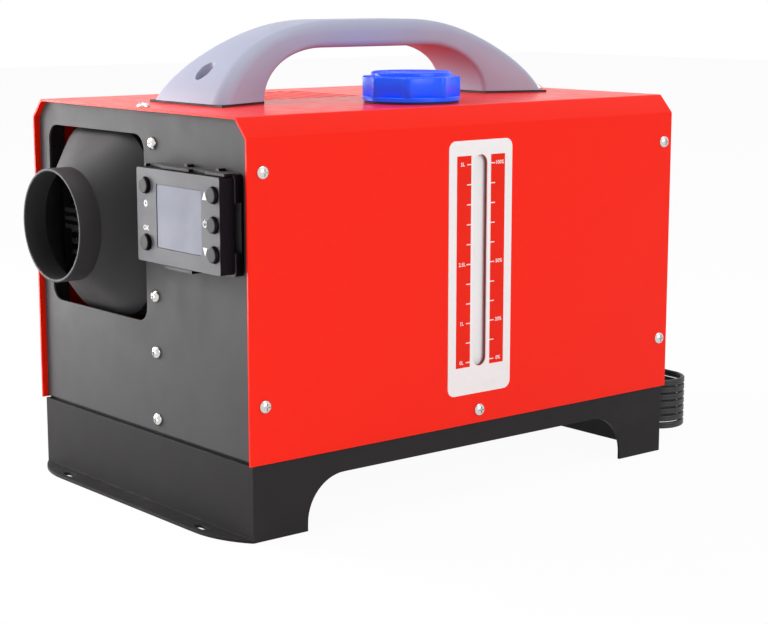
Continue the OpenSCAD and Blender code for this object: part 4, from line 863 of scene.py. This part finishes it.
def make_handle():
    """The carry handle, swept from foot to foot over a rounded section."""
    outer = evenly([bezier(*HANDLE_OUTER, k / 80) for k in range(81)], HANDLE_STATIONS)
    arch = [(HANDLE_INNER_Y - HANDLE_ARCH[0] * (1 - math.cos(a)),
             HANDLE_BOTTOM + HANDLE_ARCH[1] * math.sin(a))
            for a in (math.pi / 2 * k / 40 for k in range(41))]
    arch.append((HANDLE_OUTER[3][0], arch[-1][1]))
    inner = evenly(arch, HANDLE_STATIONS)
    rings = []
    for (oy, oz), (iy, iz) in zip(outer, inner):
        depth = math.hypot(oy - iy, oz - iz)
        wide, narrow = handle_half_width(oy), handle_half_width(iy)
        flat = ring_of([(-wide, 0), (wide, 0), (narrow, depth), (-narrow, depth)],
                       (HANDLE_RIM[0], HANDLE_RIM[0], HANDLE_RIM[1], HANDLE_RIM[1]))
        rings.append([(x, oy + (iy - oy) * d / depth, oz + (iz - oz) * d / depth)
                      for x, d in flat])
    back = rings
    front = [[(x, -y, z) for x, y, z in ring] for ring in reversed(rings)]
    mesh = mesh_mm("carry_handle_shape", *loft(back + front))
    smooth(mesh, 50)
    handle = add_piece("carry_handle_shape", mesh, CASE, "handle_plastic", ["carry_handle"])
    cutters = []
    for y in (-HANDLE_SCREW_Y, HANDLE_SCREW_Y):
        cutters.append(rod((0, y, SCREW_SEAT_Z + HANDLE_CUT / 2), (0, 0, 1), HANDLE_CUT,
                           HANDLE_RECESS))
        cutters.append(rod((0, y, SCREW_SEAT_Z), (0, 0, 1), 2 * HOLE_DEPTH, HOLE_RADIUS, 32))
    cut(handle, cutters)
    round_edges(handle, 0.4, 2, 50)


def ray_ring(angles, half_w, half_h, corner):
    """Outline points of a rounded rectangle at given ray angles."""
    points = []
    inner_w, inner_h = half_w - corner, half_h - corner
    for a in angles:
        c, s = math.cos(a), math.sin(a)
        reach = min(half_w / max(abs(c), 1e-9), half_h / max(abs(s), 1e-9))
        x, y = abs(c) * reach, abs(s) * reach
        if x > inner_w and y > inner_h:
            along = inner_w * abs(c) + inner_h * abs(s)
            off = inner_w ** 2 + inner_h ** 2 - corner ** 2
            reach = along + math.sqrt(max(along * along - off, 0))
        points.append((reach * c, reach * s))
    return points


HOOD_CENTER = (-51, 177)
HOOD_BASE_CENTER = (-51.5, 177.8)
SPIGOT_RADIUS = 36.8
SPIGOT_BORE = 34.8
SPIGOT_FRONT = -211
SPIGOT_BACK = -195.6
HOOD_BACK = -170
HOOD_RIM = -165
HOOD_SIZE = (57, 61, 38)
HOOD_WALL = 2
LIP = 0.7


def make_hood():
    """The outlet: a round spigot that widens to the heater's casing."""
    sides = 96
    angles = [2 * math.pi * i / sides for i in range(sides)]
    circle = [(math.cos(a), math.sin(a)) for a in angles]
    wide = ray_ring(angles, *HOOD_SIZE)
    wide_in = ray_ring(angles, HOOD_SIZE[0] - HOOD_WALL, HOOD_SIZE[1] - HOOD_WALL,
                       HOOD_SIZE[2] - HOOD_WALL)

    def ring(flat, y, share, scale=1):
        cx = HOOD_CENTER[0] + (HOOD_BASE_CENTER[0] - HOOD_CENTER[0]) * share
        cz = HOOD_CENTER[1] + (HOOD_BASE_CENTER[1] - HOOD_CENTER[1]) * share
        return [(cx + u * scale, y, cz + v * scale) for u, v in flat]

    def between(a, b, t):
        return [(p[0] + (q[0] - p[0]) * t, p[1] + (q[1] - p[1]) * t) for p, q in zip(a, b)]

    outer_round = [(u * SPIGOT_RADIUS, v * SPIGOT_RADIUS) for u, v in circle]
    inner_round = [(u * SPIGOT_BORE, v * SPIGOT_BORE) for u, v in circle]
    rings = [ring(wide_in, HOOD_RIM, 1), ring(wide, HOOD_RIM, 1), ring(wide, HOOD_BACK, 1)]
    for k in range(1, 12):
        t = k / 12
        y = HOOD_BACK + (SPIGOT_BACK - HOOD_BACK) * t
        rings.append(ring(between(wide, outer_round, t), y, 1 - t))
    rings += [ring(outer_round, SPIGOT_BACK, 0), ring(outer_round, SPIGOT_FRONT + LIP, 0)]
    for a in (30, 60, 90):
        a = math.radians(a)
        scale = (SPIGOT_RADIUS - LIP * (1 - math.cos(a))) / SPIGOT_RADIUS
        rings.append(ring(outer_round, SPIGOT_FRONT + LIP * (1 - math.sin(a)), 0, scale))
    for a in (90, 60, 30, 0):
        a = math.radians(a)
        scale = (SPIGOT_BORE + LIP * (1 - math.cos(a))) / SPIGOT_BORE
        rings.append(ring(inner_round, SPIGOT_FRONT + LIP * (1 - math.sin(a)), 0, scale))
    for k in range(13):
        t = k / 12
        y = SPIGOT_BACK + (HOOD_BACK - SPIGOT_BACK) * t
        rings.append(ring(between(inner_round, wide_in, t), y, t))
    points, faces = loft(rings, caps=False)
    count = len(rings[0])
    last = (len(rings) - 1) * count
    faces += [(last + i, last + (i + 1) % count, (i + 1) % count, i) for i in range(count)]
    mesh = mesh_mm("outlet_hood_shape", points, faces)
    smooth(mesh, 30)
    add_piece("outlet_hood_shape", mesh, CASE, SLOT_OF["outlet_hood"], ["outlet_hood"])


CAP_CENTER = (70, -10.5)
CAP_BOTTOM = 255.3
CAP_TOP = 274.0
CAP_RADIUS = 31.85
CAP_STEP_RADIUS = 26.3
CAP_STEP = 2.8
CAP_FLANGE = 3.0
CAP_HOLLOW_RADIUS = 47.0
CAP_HOLLOW_REACH = 75.85
CAP_RIBS = 8
CAP_RIB_ANGLE = 6.3
CAP_RIB_FOOT = 0.25
CAP_PHASE = 46
CAP_INNER_RADIUS = 28.2


def cap_radius(degrees):
    """The cap's radius at an angle: hollow panels between narrow ribs."""
    sector = 360 / CAP_RIBS
    off = (degrees - CAP_PHASE + sector / 2) % sector - sector / 2
    if abs(off) <= CAP_RIB_ANGLE / 2:
        return CAP_RADIUS
    away = math.radians(sector / 2 - abs(off))
    hollow = CAP_HOLLOW_REACH * math.cos(away) - math.sqrt(
        CAP_HOLLOW_RADIUS ** 2 - (CAP_HOLLOW_REACH * math.sin(away)) ** 2)
    return min(CAP_RADIUS, hollow)


def make_cap():
    """The ribbed filler cap: flange, ribbed wall, shoulder, raised top and hollow inside."""
    steps_in_panel = 18
    sector = 360 / CAP_RIBS
    angles = []
    for i in range(CAP_RIBS):
        middle = CAP_PHASE + i * sector
        half = CAP_RIB_ANGLE / 2
        angles += [middle - half - CAP_RIB_FOOT, middle - half, middle, middle + half,
                   middle + half + CAP_RIB_FOOT]
        span = sector - CAP_RIB_ANGLE - 2 * CAP_RIB_FOOT
        angles += [middle + half + CAP_RIB_FOOT + span * k / steps_in_panel
                   for k in range(1, steps_in_panel)]

    def ring(z, inset=0.0, ribbed=1.0, radius=None):
        points = []
        for a in angles:
            r = radius if radius else CAP_RADIUS + (cap_radius(a) - CAP_RADIUS) * ribbed - inset
            points.append((CAP_CENTER[0] + r * math.cos(math.radians(a)),
                           CAP_CENTER[1] + r * math.sin(math.radians(a)), z))
        return points

    shoulder = CAP_TOP - CAP_STEP
    edge = 1.2
    rings = [ring(CAP_BOTTOM, radius=CAP_INNER_RADIUS), ring(CAP_BOTTOM, 0.5, 0),
             ring(CAP_BOTTOM + 0.5, 0, 0), ring(CAP_BOTTOM + CAP_FLANGE - 0.4, 0, 0),
             ring(CAP_BOTTOM + CAP_FLANGE, 0.4, 0), ring(CAP_BOTTOM + CAP_FLANGE, 0.2, 1),
             ring(CAP_BOTTOM + CAP_FLANGE + 0.3, 0, 1), ring(shoulder - edge, 0, 1)]
    for a in (25, 50, 75, 90):
        a = math.radians(a)
        rings.append(ring(shoulder - edge + edge * math.sin(a), edge * (1 - math.cos(a)), 1))
    rings += [ring(shoulder, radius=CAP_STEP_RADIUS + 0.5),
              ring(shoulder + 0.4, radius=CAP_STEP_RADIUS)]
    roll = 1.1
    for a in (0, 30, 60, 90, 120, 150):
        a = math.radians(a)
        rings.append(ring(CAP_TOP - roll + roll * math.sin(a),
                          radius=CAP_STEP_RADIUS - roll + roll * math.cos(a)))
    rings += [ring(CAP_TOP - 0.8, radius=CAP_STEP_RADIUS - 3.2),
              ring(CAP_TOP - 0.9, radius=CAP_STEP_RADIUS - 8), ring(CAP_TOP - 1.0, radius=8)]
    points, faces = loft(rings, caps=False)
    count = len(angles)
    faces.append(tuple(range(len(points) - count, len(points))))
    inside = [ring(CAP_BOTTOM, radius=CAP_INNER_RADIUS),
              ring(shoulder - 2.5, radius=CAP_INNER_RADIUS - 0.5)]
    inner_points, inner_faces = loft(inside, caps=False)
    inner_faces.append(tuple(range(count, 2 * count)))
    faces += [tuple(i + len(points) for i in face) for face in inner_faces]
    mesh = mesh_mm("fuel_cap_shape", points + inner_points, faces)
    smooth(mesh, 34)
    add_piece("fuel_cap_shape", mesh, BODY_OF["fuel_cap"], "cap_plastic", ["fuel_cap"])


make_handle()
make_hood()
make_cap()


# Print on the gauge and the controller

def flat_print(name, outlines, place, thickness, material):
    """Thin symbols on the controller; place turns a flat point and a depth into XYZ."""
    points, faces = [], []
    for outline in outlines:
        more, more_faces = extrusion(outline, place, 0, thickness)
        faces += [tuple(i + len(points) for i in face) for face in more_faces]
        points += more
    add_piece(name, mesh_mm(name, points, faces), CASE, "face_plastic", material=material)


def lettering(name, text, size, bold, position, rotation, slot, material):
    """Raised generic lettering as a mesh."""
    curve = bpy.data.curves.new(name, "FONT")
    curve.body = text
    curve.size = size * MM
    curve.extrude = 0.04 * MM
    curve.offset = bold * MM
    curve.align_x = "CENTER"
    curve.align_y = "CENTER"
    curve.resolution_u = 3
    holder = bpy.data.objects.new(name + "_curve", curve)
    bpy.context.scene.collection.objects.link(holder)
    bpy.context.view_layer.update()
    graph = bpy.context.evaluated_depsgraph_get()
    mesh = bpy.data.meshes.new_from_object(holder.evaluated_get(graph), depsgraph=graph)
    bpy.data.objects.remove(holder)
    bpy.data.curves.remove(curve)
    mesh.transform(Matrix.Translation(Vector(position) * MM)
                   @ Matrix([[*row, 0] for row in rotation] + [[0, 0, 0, 1]]))
    add_piece(name, mesh, CASE, slot, material=material)


TOWARD_RIGHT = ((0, 0, 1), (1, 0, 0), (0, 1, 0))
TOWARD_FRONT = ((1, 0, 0), (0, 0, -1), (0, 1, 0))
PRINT_X = 125.78
BAR_MIDDLE = 14.55
GAUGE_SPAN = 128
TICK_DROP = 1.3
LABEL_SIZE = 3.4
LABEL_GAP = 1.4
LABEL_LIFT = 0.2
FACE_Y = -193.06
ARROW_X = 98.8
ARROW_HALF = 2.2
UP_ARROW = (205.4, 210.4)
DOWN_ARROW = (177.2, 172.2)
POWER_CENTER = (98.9, 191.3)
POWER_RADII = (2.1, 1.5)
POWER_SWEEP = (125, 415)
STEM_HALF = 0.3
STEM_REACH = (0.4, 2.6)
GEAR_CENTER = (34.8, 197.8)
GEAR_TEETH = 8
GEAR_HUB = 0.8
OK_PLACE = (34.7, FACE_Y, 182.7)


def make_gauge_labels():
    """Plain numbers beside the gauge's marks, litres on the left and shares on the right."""
    for side, marks in ((-1, (("5L", 10), ("2.5L", 5), ("1L", 2), ("0L", 0))),
                        (1, (("100%", 10), ("50%", 5), ("20%", 2), ("0%", 0)))):
        for text, tick in marks:
            z = GAUGE_Z + GAUGE_SPAN * (tick / 10 - 0.5) - TICK_DROP + LABEL_LIFT
            y = GAUGE_Y + side * (BAR_MIDDLE + LABEL_GAP)
            name = "label_" + text.replace(".", "_").replace("%", "_part")
            lettering(name, text, LABEL_SIZE, 0.05, (PRINT_X, y, z), TOWARD_RIGHT,
                      "white_plate", "white_ink")


def make_controller_print():
    """The buttons' symbols on the controller's face."""
    def on_face(p, depth):
        return (p[0], FACE_Y + 0.06 - depth, p[1])

    def arrow(base, tip):
        return [(ARROW_X - ARROW_HALF, base), (ARROW_X + ARROW_HALF, base), (ARROW_X, tip)]

    ring_out = arc(POWER_CENTER, POWER_RADII[0], *POWER_SWEEP, 24)
    ring_in = arc(POWER_CENTER, POWER_RADII[1], *POWER_SWEEP, 24)
    left, right = (POWER_CENTER[0] + side * STEM_HALF for side in (-1, 1))
    low, high = (POWER_CENTER[1] + reach for reach in STEM_REACH)
    stem = [(left, low), (right, low), (right, high), (left, high)]
    flat_print("arrows_and_power", [arrow(*UP_ARROW), arrow(*DOWN_ARROW),
                                    ring_out + ring_in[::-1], stem], on_face, 0.12, "white_ink")
    teeth = []
    for k in range(GEAR_TEETH):
        for off, radius in ((-14, 1.55), (-9, 2.25), (9, 2.25), (14, 1.55)):
            angle = math.radians(360 / GEAR_TEETH * k + off)
            teeth.append((GEAR_CENTER[0] + radius * math.cos(angle),
                          GEAR_CENTER[1] + radius * math.sin(angle)))
    flat_print("settings_icon", [teeth], on_face, 0.1, "white_ink")
    flat_print("settings_middle", [arc(GEAR_CENTER, GEAR_HUB, 0, 360, 24)[:-1]], on_face, 0.14,
               "dark_edge")
    lettering("ok_label", "OK", 4.2, 0.1, OK_PLACE, TOWARD_FRONT, "face_plastic", "white_ink")


make_gauge_labels()
make_controller_print()


# Floor, backdrop and light

def rays_seen(tree):
    """1 for camera, glossy and transmission rays, 0 for the rays that light the scene."""
    path = tree.nodes.new("ShaderNodeLightPath")
    total = path.outputs["Is Camera Ray"]
    for kind in ("Is Glossy Ray", "Is Transmission Ray"):
        add = tree.nodes.new("ShaderNodeMath")
        add.operation = "ADD"
        tree.links.new(total, add.inputs[0])
        tree.links.new(path.outputs[kind], add.inputs[1])
        total = add.outputs[0]
    return total


def plain_material(name, color, glow):
    """A pale surface that the camera sees white without lighting the scene."""
    n = Nodes(name)
    n.tree.nodes.remove(n.shader)
    diffuse = n.add("ShaderNodeBsdfDiffuse")
    diffuse.inputs["Color"].default_value = (*color, 1)
    light = n.add("ShaderNodeEmission")
    light.inputs["Color"].default_value = (1, 1, 1, 1)
    light.inputs["Strength"].default_value = 1
    mix = n.add("ShaderNodeMixShader")
    n.link(n.maths("MULTIPLY", rays_seen(n.tree), glow), mix.inputs[0])
    n.link(diffuse.outputs[0], mix.inputs[1])
    n.link(light.outputs[0], mix.inputs[2])
    n.link(mix.outputs[0], n.tree.nodes["Material Output"].inputs["Surface"])
    return n.material


def make_floor():
    """A pale floor that reaches past every view."""
    half = 6.0
    mesh = bpy.data.meshes.new("floor")
    mesh.from_pydata([(-half, -half, 0), (half, -half, 0), (half, half, 0), (-half, half, 0)],
                     [], [(0, 1, 2, 3)])
    mesh.materials.append(plain_material("floor_white", (0.88, 0.88, 0.88), 0.955))
    floor = bpy.data.objects.new("floor", mesh)
    bpy.context.scene.collection.objects.link(floor)


def area_light(name, position, target, size, power):
    """A soft rectangular lamp that faces the target."""
    data = bpy.data.lights.new(name, "AREA")
    data.shape = "RECTANGLE"
    data.size, data.size_y = size
    data.energy = power
    light = bpy.data.objects.new(name, data)
    light.location = position
    direction = Vector(target) - Vector(position)
    light.rotation_euler = direction.to_track_quat("-Z", "Y").to_euler()
    bpy.context.scene.collection.objects.link(light)


def make_world(strength):
    """A world that looks white and lights the scene with the given strength."""
    world = bpy.data.worlds.new("studio")
    world.use_nodes = True
    tree = world.node_tree
    level = tree.nodes.new("ShaderNodeMapRange")
    level.inputs["To Min"].default_value = strength
    level.inputs["To Max"].default_value = 1.0
    tree.links.new(rays_seen(tree), level.inputs["Value"])
    background = tree.nodes["Background"]
    background.inputs["Color"].default_value = (1, 1, 1, 1)
    tree.links.new(level.outputs["Result"], background.inputs["Strength"])
    bpy.context.scene.world = world


make_floor()
make_world(0.35)
area_light("key", (-1.2, -1.6, 1.6), (0, 0, 0.15), (1.4, 1.4), 18)
area_light("left", (-0.8, -0.52, 0.42), (-0.1, -0.18, 0.1), (0.45, 0.5), 8.5)
area_light("low", (-0.45, -0.43, 0.1), (-0.05, -0.18, 0.1), (0.3, 0.16), 1.1)
area_light("right", (2.3, 0.2, 0.9), (0, 0, 0.15), (1.4, 1.2), 21)
area_light("top", (0.1, 0.2, 2.4), (0, 0, 0.2), (1.8, 1.8), 17)
bpy.context.scene.view_settings.view_transform = "Standard"
